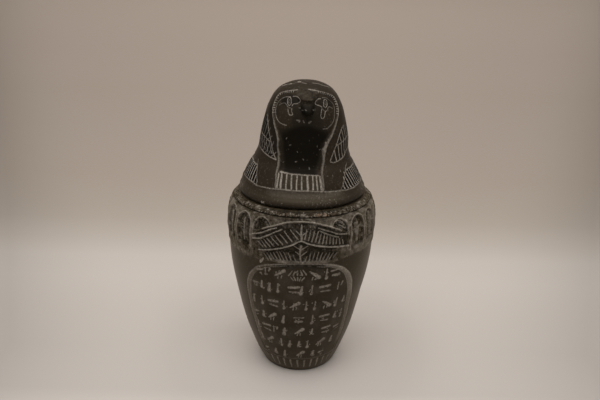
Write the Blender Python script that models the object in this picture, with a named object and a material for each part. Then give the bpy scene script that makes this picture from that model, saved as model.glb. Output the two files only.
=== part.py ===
"""A carved stone canopic jar: a hollow turned jar and the falcon-head lid that rests on it.

Run with: blender --background --python part.py
Metres, +Z up, the carved front towards -Y, the origin at the middle of the underside.
Lengths below are millimetres. Angles are degrees round the axis from the front, positive
towards +X, so a place on a carved surface is an (angle, height) pair.
"""
import bpy
import numpy as np
from mathutils import Vector
from mathutils.geometry import delaunay_2d_cdt

MM = 0.001
DEGREE = np.pi / 180

# ---- driving dimensions, mm ----
TOTAL_HEIGHT = 240.0
JAR_HEIGHT = 152.65          # underside to the flat rim that carries the lid
FOOT_RADIUS = 31.8
RIM_RADIUS = 51.6
MOUTH_RADIUS = 40.0
FLOOR = 13.0                 # thickness of the jar's bottom
REST_GAP = 0.3               # between the rim and the lid that rests on it
PLUG_DEPTH = 9.0             # how far the lid's plug reaches down into the mouth
PLUG_CLEARANCE = 0.5         # round the plug
EDGE = 1.0                   # small bevels at the foot, mouth and plug

# ---- outlines, (radius, height) in mm ----
JAR_OUTLINE = [(FOOT_RADIUS, 1.2), (35.5, 8.2), (40.2, 20.4), (45.5, 36.7), (49.5, 53.1), (52.8, 69.4),
               (56.1, 85.7), (58.2, 102.0), (58.9, 114.3), (59.3, 122.4), (59.9, 129.0), (59.7, 134.7),
               (58.8, 140.4), (57.3, 145.3), (55.8, 148.6), (54.4, 150.8), (RIM_RADIUS, JAR_HEIGHT)]
CAVITY = [(MOUTH_RADIUS, 150.6), (MOUTH_RADIUS, 134.0), (44.5, 124.0), (46.6, 112.0), (45.8, 98.0),
          (42.6, 74.0), (37.0, 46.0), (31.0, 28.0), (26.0, 18.0), (18.0, 13.6), (0.0, FLOOR)]
LID_OUTLINE = [(47.4, 152.95), (49.3, 153.7), (50.2, 155.6), (49.9, 158.4), (48.4, 161.6), (46.3, 168.2),
               (43.8, 173.1), (41.1, 178.0), (37.6, 182.9), (35.3, 189.4), (34.4, 197.6), (32.8, 205.7),
               (30.8, 213.9), (28.9, 220.4), (26.3, 226.1), (23.3, 231.0), (18.5, 235.5), (10.2, 239.0),
               (0.0, TOTAL_HEIGHT)]
JAR_LEAN = [(0.0, 0.4), (12.0, 0.0), (45.0, -0.35), (70.0, -0.45), (100.0, 0.0), (152.0, 0.4)]
LID_LEAN = [(153.0, 0.3), (165.0, -0.2), (174.0, -0.4), (182.0, -0.1), (190.0, 0.55), (197.0, 1.0),
            (221.0, 1.15), (240.0, 1.3)]    # height, and how far the hand-cut outside leans to +X there
CROWN_RING, CROWN_DROP = 2.5, 0.1    # radius of the small ring that closes the crown, and its depth

# ---- the jar's carving ----
BAND = (114.2, 149.0)        # a raised belt round the shoulder
BAND_RISE = 0.6
RING_GROOVE = 149.4          # parts the belt from the ring under the lid
GROOVE_WIDTH, GROOVE_DEPTH = 1.8, 1.1
WING_TOP = 146.8             # the spread wings hang from here
WING_DROP = 0.0095           # their upper edge falls by this times the angle squared
WING_SPAN = (-29.0, 29.0)
WING_RIDGE, FOLD_RIDGE, EDGE_RIDGE = (2.2, 0.9), (1.7, 0.7), (2.4, 0.9)      # width and rise
WING_FOLDS = [[(-37.0, 133.0), (-30.0, 135.5), (-25.0, 138.4), (-18.0, 141.5)],
              [(-37.0, 129.8), (-30.0, 131.8), (-25.0, 134.4), (-20.0, 137.5), (-14.0, 140.8)],
              [(12.0, 142.6), (20.0, 139.5), (27.0, 136.6), (34.0, 135.3)],
              [(13.0, 140.4), (20.0, 137.0), (27.0, 134.4)]]
WING_EDGE = [(-32.0, 121.8), (-26.0, 122.9), (-20.0, 124.6), (-15.0, 126.3), (-10.0, 128.3), (-5.0, 130.7),
             (0.0, 133.2), (5.0, 131.4), (10.0, 128.9), (15.0, 127.4), (20.0, 126.0), (30.0, 124.3),
             (38.0, 123.2)]
FEATHERS = 7                 # in the upper row of each wing
FEATHER_PITCH = 4.1
FEATHER_ROW = 9.5            # height of the upper row of feathers
FEATHER_GAP = 2.3            # between a feather's cut line and the ridges
UNDER_FOLDS = 3.4            # the outer feathers are this much shorter, under the folds
FEATHER_LEAN = {-1: 4.6, 1: 1.6}     # degrees from foot to head
ARCHES = [(-84.1, 6.2), (-65.8, 6.2), (-47.5, 6.8), (-29.4, 7.0), (29.0, 7.0), (46.9, 6.2), (64.5, 6.2),
          (82.5, 6.2)]       # middle and half width of the small niches that fill the rest of the belt
ARCH_FOOT, ARCH_HEAD = 122.0, 147.0
NICHE = 1.5                  # depth of the niches
REED_WIDTH, REED_RISE = 3.4, 1.2
JAR_WIDEST, WIDEST_HEIGHT = 60.0, 130.0      # radius that the niches are drawn at, and where it is
BESIDE_WING = 40.0           # niches nearer the front than this stand on the wings
FRAME_HALF = 50.0            # the cartouche on the belly
FRAME_MIDDLE = -0.5
FRAME_FOOT, FRAME_SPRING, FRAME_ARCH = 20.0, 80.0, 33.2
FRAME_BEND = 2.2             # how square the corners of its top are; 2 gives an ellipse
FRAME_STRIP = 3.0            # between its two lines
UPRIGHT, RISING, FALLING, BAR = range(4)
WRITING = [                  # middle height, length of the strokes, and (angle, kind) of each
    (103.8, 7.0, [(-25, UPRIGHT), (-15, RISING), (-3, BAR), (11, FALLING), (20, UPRIGHT), (29, BAR)]),
    (91.0, 8.2, [(-33, BAR), (-24, UPRIGHT), (-17, UPRIGHT), (-3, BAR), (9.5, UPRIGHT), (20, BAR),
                 (33, RISING)]),
    (75.5, 8.6, [(-40, FALLING), (-32, UPRIGHT), (-22, BAR), (-13, UPRIGHT), (-4, BAR), (6, UPRIGHT),
                 (13, UPRIGHT), (23, FALLING), (32, UPRIGHT), (40, UPRIGHT)]),
    (61.5, 8.6, [(-40, BAR), (-33, UPRIGHT), (-24, RISING), (-13.5, UPRIGHT), (0, BAR), (12, UPRIGHT),
                 (23, BAR), (36, UPRIGHT), (43, UPRIGHT)]),
    (48.5, 8.2, [(-41, RISING), (-31, BAR), (-22.5, UPRIGHT), (-13.5, UPRIGHT), (0, BAR),
                 (12.5, UPRIGHT), (27, BAR), (39, FALLING)]),
    (35.0, 8.2, [(-42, UPRIGHT), (-31, RISING), (-18, UPRIGHT), (-9.5, UPRIGHT), (0.5, BAR),
                 (10, UPRIGHT), (23, RISING), (37, UPRIGHT)]),
    (22.0, 6.0, [(-38, BAR), (-27, UPRIGHT), (-15.5, UPRIGHT), (2, RISING), (17, UPRIGHT), (27, BAR)])]
BAR_HALF = 3.6               # degrees each side of a level stroke's middle
SLANT_HALF = 3.2             # the same of a slanted stroke, which rises by half an upright one
BASE_LINE = 16.3             # a line round the foot, with upright strokes under it
FOOT_STROKES = (4.6, 13.6)
FOOT_PITCH = 8.8

# ---- the lid's carving ----
WIG_LEFT = [(166.5, -26.3), (180.0, -26.2), (184.2, -28.4), (188.0, -30.8), (194.2, -33.5), (199.2, -34.8),
            (204.3, -38.4), (209.9, -44.0), (216.1, -50.8), (221.8, -55.8), (225.5, -57.4), (229.0, -57.6),
            (231.4, -55.2), (232.7, -49.0), (233.9, -38.0), (235.2, -18.0)]
WIG_RIGHT = [(166.5, 19.8), (174.0, 21.0), (178.0, 21.0), (182.0, 23.1), (186.8, 25.6), (192.0, 26.8),
             (198.0, 29.8), (202.4, 35.9), (206.8, 41.3), (211.8, 47.8), (218.0, 55.3), (222.4, 58.5),
             (226.0, 59.8), (229.4, 58.9), (231.2, 54.0), (232.7, 45.3), (233.9, 31.5), (235.2, 19.3)]
WIG_EDGE, WIG_RISE = 1.8, 0.7        # the raised line along the wig's edge
WIG_STEP = 4.0               # degrees from the wig's edge down to the face
OPENING_DEPTH = [(166.0, 0.5), (178.4, 0.6), (179.6, 4.0), (184.0, 3.2), (189.0, 2.6), (199.0, 2.4),
                 (204.0, 1.8), (209.0, 0.7), (214.0, 0.5), (232.0, 0.7), (236.0, 0.0)]
FACE_TURN = 3.6              # the face looks a little to one side
BEAK = [                     # height, reach, half width
        (216.0, 0.0, 2.4), (217.6, 0.6, 2.4), (218.8, 2.8, 2.5), (220.2, 4.6, 2.9), (222.0, 5.2, 3.5),
        (224.0, 4.7, 4.0), (225.8, 3.4, 4.1), (227.2, 2.6, 4.2), (228.4, 3.2, 4.6), (229.6, 4.6, 5.2),
        (230.8, 4.4, 5.8), (232.4, 3.0, 6.4), (234.4, 1.2, 7.0), (236.4, 0.0, 7.4)]
BEAK_FLAT, BEAK_SPREAD = 0.3, 1.6    # where its sides start and end, as shares of the half width
EYES = {-1: (-27.3, 227.7), 1: (33.6, 226.1)}
PUPIL = (4.4, 3.0)           # half width in degrees and half height
EYE_LINES = {                # degrees outward from the eye's middle, mm up: almond, cheek, lid, tear mark
    -1: [[(-5.6, -2.8), (-11.0, -1.2), (-19.4, 1.5), (-13.6, 3.5), (-4.0, 3.4)],
         [(2.0, 3.1), (10.0, 2.7), (18.0, 1.4), (23.2, -0.8), (24.9, -4.4), (22.2, -8.4), (15.2, -13.6),
          (6.0, -15.9), (-1.5, -16.3)],
         [(3.5, -2.9), (9.5, -1.5), (18.5, -3.3)],
         [(0.3, -5.0), (-4.0, -8.8), (-9.4, -8.1), (-5.9, -4.4)]],
    1: [[(-7.0, -1.4), (-11.4, -0.5), (-17.8, 1.0), (-12.4, 3.4), (-5.6, 3.8)],
        [(-1.0, 4.2), (6.0, 4.0), (12.4, 2.2), (18.0, -0.2), (18.9, -3.0), (15.4, -7.6), (9.4, -12.9),
         (1.5, -15.9), (-8.5, -17.0)],
        [(0.5, -3.1), (6.4, -1.7), (13.4, -3.6)],
        [(-7.6, -3.1), (-10.2, -8.1), (-5.8, -9.4), (-1.8, -4.8)]]}
COLLAR_TOP = [(-26.0, 178.9), (20.0, 177.4)]
COLLAR_LINE = [(-180.0, 165.6), (-72.0, 167.1), (-54.0, 166.8), (-45.0, 166.1), (-30.0, 166.6),
               (-24.0, 167.3), (9.0, 167.2), (18.0, 166.1), (37.0, 165.1), (54.0, 164.1), (80.0, 164.8),
               (180.0, 165.6)]
SIDE_TOP = [(-180.0, 178.0), (-76.0, 179.4), (-56.0, 178.2), (51.0, 176.6), (60.0, 177.4), (90.0, 177.4),
            (180.0, 178.0)]
LAPPET_OUT = {-1: [(164.0, 43.0), (168.6, 46.4), (174.9, 52.6), (178.0, 55.4), (182.0, 63.0)],
              1: [(162.0, 36.0), (165.5, 38.3), (171.4, 45.8), (176.4, 51.4), (178.9, 54.5), (182.4, 67.0)]}
SHOULDER_DROP = 0.8          # how far the wig beside the lappets stands back
COLLAR_STROKES = (-21.0, -15.8, -10.6, -5.2, 0.0, 5.0, 9.8, 13.4, 16.6)
COLLAR_PITCH = 4.6           # of the strokes at the sides
COLLAR_OUTER = 106.0
NETS = {                     # inner edge, middle and foot of each netted panel, degrees outward
    -1: ([(33.8, 186.2), (38.9, 189.3), (43.9, 194.3), (48.3, 199.9), (55.1, 205.0), (61.4, 210.5),
          (68.9, 215.8)],
         [(49.5, 197.7), (60.1, 199.6), (72.0, 200.8), (96.0, 202.0)],
         [(33.8, 185.8), (43.2, 186.7), (57.0, 188.1), (69.5, 189.9), (96.0, 191.5)]),
    1: ([(34.0, 185.4), (37.9, 188.9), (40.8, 193.4), (43.8, 196.8), (52.0, 203.3), (59.5, 207.4),
         (68.0, 208.9)],
        [(43.8, 197.0), (47.6, 196.3), (58.2, 197.5), (72.0, 199.4), (96.0, 201.0)],
        [(34.6, 184.6), (39.5, 183.6), (46.4, 184.6), (58.2, 186.1), (70.0, 189.2), (96.0, 191.0)])}
NET_OUTER = 96.0             # the netted panels end here, beside the plain locks behind
NET_HEAD = 214.0
NET_LEAN = 2.0               # degrees that each net stroke leans outward
NET_ROWS = [(46.0, 7.5), (62.0, 8.5)]        # first angle and pitch of the lower and upper strokes
LOCK_PITCH = 14.0            # plain locks down the back of the wig
LOCKS = (187.0, 226.0)

# ---- tool marks, mm ----
LINE = 1.5                   # width of a cut line
FINE = 1.2                   # width of the finer lines on the face and wig
WIDE = 1.8                   # width of the strokes on the collar, foot and locks
MARK = 2.4                   # width of the strokes of the writing
CUT, SHALLOW = 0.9, 0.6      # depths
SOFT = 1.6                   # width of a rounded step
BED = 0.1                    # share of a stroke's width that is flat

# ---- mesh density ----
COLUMNS = 44                 # points round the outside
FLAT_RADIUS = 45.0           # the outside is triangulated as if it were unrolled from this radius
CLEAR = 2.4                  # plain points stay this far from the lines of the carving
LONG = 8.5                   # the longest straight piece of a carved line
MERGE = 0.2                  # points nearer than this become one


# ------------------------------------------------------------------ curves
def length_along(points):
    return np.concatenate([[0], np.cumsum(np.hypot(*np.diff(points, axis=0).T))])


def even(points, step):
    """The same line with its points an even distance, about step, apart."""
    points = np.array(points, float)
    run = length_along(points)
    at = np.linspace(0, run[-1], max(1, int(round(run[-1] / step))) + 1)
    return np.column_stack([np.interp(at, run, points[:, 0]), np.interp(at, run, points[:, 1])])


def smooth_curve(points, step):
    """A Catmull-Rom curve through the points, cut evenly."""
    p = np.array(points, float)
    p = np.vstack([2 * p[0] - p[1], p, 2 * p[-1] - p[-2]])
    t = np.linspace(0, 1, 24, endpoint=False)[:, None]
    pieces = []
    for a, b, c, d in zip(p[:-3], p[1:-2], p[2:-1], p[3:]):
        square, cube = 2 * a - 5 * b + 4 * c - d, 3 * b - a - 3 * c + d
        pieces.append(0.5 * (2 * b + (c - a) * t + square * t**2 + cube * t**3))
    return even(np.vstack(pieces + [p[-2:-1]]), step)


def table(rows, value, column=1):
    """Reads a column of a table whose first column rises."""
    rows = np.array(rows)
    return np.interp(value, rows[:, 0], rows[:, column])


def ramp(value, low, high):
    """0 at low, 1 at high, smooth between them."""
    t = np.clip((value - low) / (high - low), 0, 1)
    return t * t * (3 - 2 * t)


def window(value, low, high, soft):
    """1 between low and high, with soft edges."""
    return ramp(value, low - soft / 2, low + soft / 2) * (1 - ramp(value, high - soft / 2, high + soft / 2))


def mirrored(points, side):
    """(angle, height) points put on the side that the sign gives."""
    return [(side * angle, height) for angle, height in points]


# ------------------------------------------------------------------ a turned and carved body
class Turning:
    """A closed turned body whose outside is carved.

    The carving is a list of fields, each a function of angle and height that moves the surface
    along its normal, and a list of strokes. Each leaves creases: lines that the triangles of
    the outside must follow. The outside is triangulated flat and then wrapped round."""

    def __init__(self, outline, lean, start, finish):
        self.outline, self.lean = smooth_curve(outline, 0.25), lean
        self.rows = [row[1] for row in outline]
        self.run = length_along(self.outline)
        self.start, self.finish = start, finish
        self.forms, self.fields, self.strokes = [], [], []
        self.points, self.creases = [], []

    def radius_at(self, height):
        return np.interp(height, self.outline[:, 1], self.outline[:, 0])

    def flat(self, angle, height):
        """Where a place lies on the unrolled outside."""
        return np.column_stack([angle * DEGREE * FLAT_RADIUS + 0 * height,
                                np.interp(height, self.outline[:, 1], self.run) + 0 * angle])

    def round(self, angle, height):
        """Where a place lies on the plain outside, as x, y and z."""
        radius = self.radius_at(height)
        return np.column_stack([radius * np.sin(angle * DEGREE), -radius * np.cos(angle * DEGREE), height])

    def crease(self, angle, height, closed=False):
        """A line of (angle, height) points that edges of the mesh must follow."""
        first = sum(len(points) for points in self.points)
        self.points.append(self.flat(np.array(angle, float), np.array(height, float)))
        count = len(self.points[-1])
        self.creases += [(first + k, first + (k + 1) % count) for k in range(count if closed else count - 1)]

    def turn_crease(self, height):
        angle = np.linspace(-180, 180, COLUMNS + 1)
        self.crease(angle, np.full(len(angle), height))

    def stroke(self, path, width=LINE, rise=-CUT):
        """A ridge, or a cut where rise is below 0, along (angle, height) points."""
        path = np.array(path, float)
        mean = self.radius_at(path[:, 1].mean()) * DEGREE
        line = even(path * (mean, 1), LONG) if len(path) < 3 else path * (mean, 1)
        along = np.gradient(line, axis=0)
        along /= np.maximum(np.hypot(*along.T), 1e-9)[:, None]
        reach = width / 2
        side = np.column_stack([-along[:, 1], along[:, 0]]) * reach
        ends = (line[0] - along[0] * reach, line[-1] + along[-1] * reach)
        rim = np.vstack([[ends[0]], line + side, [ends[1]], (line - side)[::-1]]) / (mean, 1)
        line = line / (mean, 1)
        self.crease(*rim.T, closed=True)
        self.crease(*line.T)
        self.strokes.append((self.round(*line.T), reach, rise))

    def turn_stroke(self, heights, width=LINE, rise=-CUT):
        """A stroke all the way round, its heights given as (angle, height) points."""
        angle = np.linspace(-180, 180, COLUMNS + 1)
        middle = table(heights, angle)
        for up in (-width / 2, 0, width / 2):
            self.crease(angle, middle + up)
        self.strokes.append((self.round(angle, middle), width / 2, rise))

    def relief(self, angle, height):
        """How far the carving moves each place along the surface's normal."""
        place = self.round(angle, height)
        deepest = np.zeros(len(angle))
        for points, reach, rise in self.strokes:
            nearest = np.full(len(angle), np.inf)
            for start, step in zip(points[:-1], np.diff(points, axis=0)):
                t = np.clip((place - start) @ step / max(step @ step, 1e-9), 0, 1)[:, None]
                nearest = np.minimum(nearest, np.linalg.norm(place - start - t * step, axis=1))
            depth = rise * (1 - ramp(nearest, BED * reach, reach))
            deepest = np.where(np.abs(depth) > np.abs(deepest), depth, deepest)
        return deepest + sum(field(angle, height) for field in self.fields)

    def carved(self, flat):
        """Points of the unrolled outside, wrapped round and carved."""
        angle = flat[:, 0] / (DEGREE * FLAT_RADIUS)
        out, height = (np.interp(flat[:, 1], self.run, column) for column in self.outline.T)
        along = np.gradient(self.outline, axis=0)
        along /= np.hypot(*along.T)[:, None]
        normal_up = np.interp(flat[:, 1], self.run, -along[:, 0])
        normal_out = np.interp(flat[:, 1], self.run, along[:, 1])
        rise = self.relief(angle, height)
        out = out + rise * normal_out + sum(form(angle, height) for form in self.forms)
        return np.column_stack([out * np.sin(angle * DEGREE) + table(self.lean, height),
                                -out * np.cos(angle * DEGREE), height + rise * normal_up])

    def triangulate(self):
        """Flat points and triangles of the outside."""
        angle = np.linspace(-180, 180, COLUMNS + 1)
        carved = np.vstack(self.points)
        starts = np.array([carved[a] for a, b in self.creases])
        steps = np.array([carved[b] - carved[a] for a, b in self.creases])
        plain = []
        for height in self.rows:
            for point, here in zip(self.flat(angle, np.full(len(angle), height)), angle):
                t = np.clip(((point - starts) * steps).sum(1) / np.maximum((steps**2).sum(1), 1e-9), 0, 1)
                away = np.hypot(*(point - starts - t[:, None] * steps).T).min()
                if abs(here) == 180 or height in (self.rows[0], self.rows[-1]) or away > CLEAR:
                    plain.append(point)
        points = [Vector(point) for point in np.vstack([carved, plain])]
        result = delaunay_2d_cdt(points, self.creases, [], 0, MERGE)
        return np.array([tuple(point) for point in result[0]]), result[2]

    def mesh(self, name):
        """The carved outside, joined to the plain rings before it and after it."""
        flat, faces = self.triangulate()
        seam = FLAT_RADIUS * np.pi - 1e-3
        points = self.carved(flat)
        left = {round(flat[k, 1], 3): k for k in np.flatnonzero(flat[:, 0] < -seam)}
        same = {k: left[round(flat[k, 1], 3)] for k in np.flatnonzero(flat[:, 0] > seam)}
        faces = [[same.get(k, k) for k in face] for face in faces]
        points = points.tolist()

        def edge_ring(at):
            line = [k for k in np.flatnonzero(np.abs(flat[:, 1] - at) < 1e-3) if k not in same]
            return sorted(line, key=lambda k: flat[k, 0])

        def plain_rings(ring, rows, up):
            """Adds rings of points, each with half as many where it says so, and a last pole."""
            for radius, height, thinned in rows:
                if radius == 0:
                    points.append([0, 0, height])
                    faces.extend([a, b, len(points) - 1][::up] for a, b in zip(ring, ring[1:] + ring[:1]))
                    return
                count = len(ring) // 2 if thinned else len(ring)
                angle = np.arange(count) * 360 / count * DEGREE - np.pi
                new = list(range(len(points), len(points) + count))
                points.extend([radius * np.sin(a), -radius * np.cos(a), height] for a in angle)
                for k in range(count):
                    a, b = new[k], new[(k + 1) % count]
                    if thinned:
                        c, d, e = ring[2 * k], ring[2 * k + 1], ring[(2 * k + 2) % len(ring)]
                        faces.extend(face[::up] for face in ([c, d, a], [d, b, a], [d, e, b]))
                    else:
                        faces.append([ring[k], ring[(k + 1) % count], b, a][::up])
                ring = new

        plain_rings(edge_ring(0), self.start, -1)
        plain_rings(edge_ring(self.run[-1]), self.finish, 1)
        mesh = bpy.data.meshes.new(name)
        mesh.from_pydata((np.round(np.array(points) * MM, 7)).tolist(), [], faces)
        mesh.update()
        return mesh


# ------------------------------------------------------------------ the jar's carving
def wing_top(angle):
    return WING_TOP - WING_DROP * np.square(angle)


def carve_belt(body):
    """The raised belt, and the groove that parts it from the pecked ring under the lid."""
    body.fields.append(lambda angle, height: BAND_RISE * window(height, BAND[0], BAND[1], SOFT))
    body.turn_crease(BAND[0] - SOFT / 2)
    body.turn_crease(BAND[0] + SOFT / 2)
    body.turn_stroke([(-180, RING_GROOVE), (180, RING_GROOVE)], GROOVE_WIDTH, -GROOVE_DEPTH)


def arch_line(centre, half, foot, head):
    """(angle, height) points up one side of a round-topped niche, over it and down."""
    tall = half * DEGREE * JAR_WIDEST
    turn = np.linspace(-90, 90, 9) * DEGREE
    side = [centre - half] * 2, [centre + half] * 2
    angle = np.concatenate([side[0], centre + half * np.sin(turn), side[1]])
    top = head - tall + tall * np.cos(turn)
    return angle, np.concatenate([[foot, WIDEST_HEIGHT], top, [WIDEST_HEIGHT, foot]])


def carve_arches(body):
    """Round-topped niches beside and over the wings; those beside them hold a reed."""
    bevel = SOFT / (DEGREE * JAR_WIDEST)
    for centre, half in ARCHES:
        beside = abs(centre) > BESIDE_WING
        foot = ARCH_FOOT if beside else wing_top(abs(centre) + half - bevel) + SOFT

        def field(angle, height, centre=centre, half=half, beside=beside):
            tall = half * DEGREE * JAR_WIDEST
            spring = ARCH_HEAD - tall
            across = np.abs(angle - centre) * DEGREE * JAR_WIDEST
            away = np.where(height > spring, np.hypot(across, height - spring), across)
            floor = np.full(len(angle), ARCH_FOOT) if beside else wing_top(angle)
            return -NICHE * (1 - ramp(away, tall - SOFT, tall)) * ramp(height, floor, floor + SOFT)

        body.fields.append(field)
        for inset in (0.0, 1.0):
            angle, height = arch_line(centre, half - inset * bevel, foot, ARCH_HEAD - inset * SOFT)
            if beside:
                height = np.maximum(height, foot + inset * SOFT)
            else:
                floor = wing_top(angle) + inset * SOFT
                keep = height >= floor - 0.01
                low = np.linspace(angle[keep][-1], angle[keep][0], 6)
                angle = np.concatenate([angle[keep], low])
                height = np.concatenate([height[keep], wing_top(low) + inset * SOFT])
            body.crease(angle, height, closed=True)
        if beside:
            body.stroke([(centre, ARCH_FOOT + 4.5), (centre, ARCH_HEAD - 6)], REED_WIDTH, REED_RISE)


def carve_wings(body):
    """Two rows of feathers under a double ridge, spread over the front of the belt."""
    span = np.linspace(*WING_SPAN, 11)
    body.stroke(np.column_stack([span, wing_top(span)]), *WING_RIDGE)
    for fold in WING_FOLDS:
        body.stroke(fold, *FOLD_RIDGE)
    body.stroke(WING_EDGE, *EDGE_RIDGE)
    for side in (-1, 1):
        for k in range(1, FEATHERS + 1):
            foot = side * FEATHER_PITCH * k
            head = foot + side * FEATHER_LEAN[side]
            top = min(wing_top(head) - FEATHER_GAP, table(WING_EDGE, foot) + FEATHER_ROW)
            if k > FEATHERS // 2:
                top -= UNDER_FOLDS
            body.stroke([(head, top), (foot, table(WING_EDGE, foot) + FEATHER_GAP)])
            if k < FEATHERS:
                body.stroke([(head, table(WING_EDGE, head) - FEATHER_GAP), (foot, BAND[0] + FEATHER_GAP)])
    middle = table(WING_EDGE, 0)
    body.stroke([(0, wing_top(0) - FEATHER_GAP), (0, middle + FEATHER_GAP)])
    body.stroke([(0, middle - FEATHER_GAP), (0, BAND[0] + FEATHER_GAP)])


def frame_top(angle, inset):
    """Height of the cartouche's rounded top, inset by a few mm."""
    along = np.minimum(1, np.abs(angle - FRAME_MIDDLE) / (FRAME_HALF - inset))
    return FRAME_SPRING + (FRAME_ARCH - inset) * (1 - along**FRAME_BEND)**(1 / FRAME_BEND)


def frame_path(inset):
    """One line of the cartouche, up one side, over the top and down the other."""
    half = FRAME_HALF - inset
    angle = FRAME_MIDDLE + half * np.sin(np.linspace(-90, 90, 25) * DEGREE)
    side = np.arange(FRAME_FOOT, FRAME_SPRING, LONG)
    left, right = (np.column_stack([np.full(len(side), FRAME_MIDDLE + way * half), side]) for way in (-1, 1))
    return np.vstack([left, np.column_stack([angle, frame_top(angle, inset)]), right[::-1]])


def carve_cartouche(body):
    """Two cut lines with a plain strip between them, round-topped, framing the writing."""
    for inset in (0, FRAME_STRIP):
        body.stroke(frame_path(inset), LINE, -CUT)


def carve_writing(body):
    """Rows of plain strokes in place of an inscription: upright, slanted and level ones."""
    for middle, length, marks in WRITING:
        for angle, kind in marks:
            across = {UPRIGHT: 0, RISING: SLANT_HALF, FALLING: -SLANT_HALF, BAR: BAR_HALF}[kind]
            up = {UPRIGHT: length / 2, RISING: length / 4, FALLING: length / 4, BAR: 0}[kind]
            body.stroke([(angle - across, middle - up), (angle + across, middle + up)], MARK)


def carve_foot(body):
    """A line round the foot with upright strokes under it, as far round as the belt's niches."""
    body.turn_stroke([(-180, BASE_LINE), (180, BASE_LINE)])
    for k in range(-10, 11):
        angle = FOOT_PITCH * k - 1
        body.stroke([(angle, FOOT_STROKES[0]), (angle, FOOT_STROKES[1])], WIDE)


def build_jar():
    under = [(FOOT_RADIUS - 0.3 * EDGE, 0.3 * EDGE, False), (FOOT_RADIUS - EDGE, 0, False), (0, 0, False)]
    rim = [(RIM_RADIUS - EDGE, JAR_HEIGHT, False), (MOUTH_RADIUS + EDGE, JAR_HEIGHT, False),
           (MOUTH_RADIUS, JAR_HEIGHT - EDGE, True)]
    body = Turning(JAR_OUTLINE, JAR_LEAN, under, rim + [(*row, False) for row in CAVITY])
    carve_belt(body)
    carve_arches(body)
    carve_wings(body)
    carve_cartouche(body)
    carve_writing(body)
    carve_foot(body)
    return body.mesh("jar")


# ------------------------------------------------------------------ the lid's carving
def shape_head(body):
    """The face, throat and collar set back inside the wig, the shoulders set back beside the lappets."""
    def opening(angle, height):
        inside = np.minimum(angle - table(WIG_LEFT, height), table(WIG_RIGHT, height) - angle)
        return -table(OPENING_DEPTH, height) * ramp(inside, 0.0, WIG_STEP)

    body.forms.append(opening)
    for edge, way in ((WIG_LEFT, 1), (WIG_RIGHT, -1)):
        height, angle = np.array(edge).T
        body.crease(angle + way * WIG_STEP, height)
    for height in (OPENING_DEPTH[1][0], OPENING_DEPTH[2][0], OPENING_DEPTH[3][0]):
        ends = table(WIG_LEFT, height) + WIG_STEP, table(WIG_RIGHT, height) - WIG_STEP
        angle = np.linspace(*ends, 9)
        body.crease(angle, np.full(len(angle), height))
    for side, edge in LAPPET_OUT.items():
        def shoulder(angle, height, side=side, edge=edge):
            beside = ramp(side * angle - table(edge, height), 0.0, 2.5)
            return -SHOULDER_DROP * beside * window(height, COLLAR_LINE[0][1], edge[-1][0], SOFT)

        body.forms.append(shoulder)


def shape_beak(body):
    """The brow runs out into a ridge over a short hooked beak."""
    profile = [smooth_curve([(row[0], row[column]) for row in BEAK], 0.2) for column in (1, 2)]

    def beak(angle, height):
        reach, half = table(profile[0], height), np.maximum(table(profile[1], height), 1.0)
        across = np.abs(angle - FACE_TURN) * DEGREE * body.radius_at(height)
        span = (height > BEAK[0][0]) & (height < BEAK[-1][0])
        return span * reach * (1 - ramp(across, BEAK_FLAT * half, BEAK_SPREAD * half))

    body.forms.append(beak)
    for height, _, half in BEAK:
        side = np.linspace(BEAK_FLAT, BEAK_SPREAD, 3) * half
        across = np.concatenate([-side[::-1], side])
        body.crease(FACE_TURN + across / (DEGREE * body.radius_at(height)), np.full(len(across), height))


def carve_eyes(body):
    """A ringed pupil in an almond, a long crescent round the cheek and a tear mark."""
    turn = np.linspace(0, 360, 9) * DEGREE
    for side, (centre, middle) in EYES.items():
        pupil = np.column_stack([PUPIL[0] * np.sin(turn), PUPIL[1] * np.cos(turn)])
        for line in [pupil] + EYE_LINES[side]:
            body.stroke([(centre + side * out, middle + up) for out, up in line], FINE, -SHALLOW)


def carve_wig(body):
    """The wig's raised edge, the netted panels beside it and plain locks behind."""
    for edge in (WIG_LEFT, WIG_RIGHT):
        body.stroke([(angle, height) for height, angle in edge], WIG_EDGE, WIG_RISE)
    for side, (inner, middle, foot) in NETS.items():
        for line in (inner, middle, foot):
            body.stroke(mirrored(line, side), LINE, -SHALLOW)
        body.stroke([(side * NET_OUTER, foot[-1][1]), (side * NET_OUTER, NET_HEAD)], LINE, -SHALLOW)
        for (first, pitch), low, high in zip(NET_ROWS, (foot, middle), (middle, inner)):
            for angle in np.arange(first, NET_OUTER - pitch / 2, pitch):
                ends = [(angle, table(low, angle) + 1.8), (angle + NET_LEAN, table(high, angle) - 1.8)]
                body.stroke(mirrored(ends, side), FINE, -SHALLOW)
    for k in range(-5, 6):
        angle = 180 - LOCK_PITCH * k if k > 0 else -180 - LOCK_PITCH * k
        if k:
            body.stroke([(angle, LOCKS[0]), (angle, LOCKS[1])], WIDE, -SHALLOW)


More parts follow.
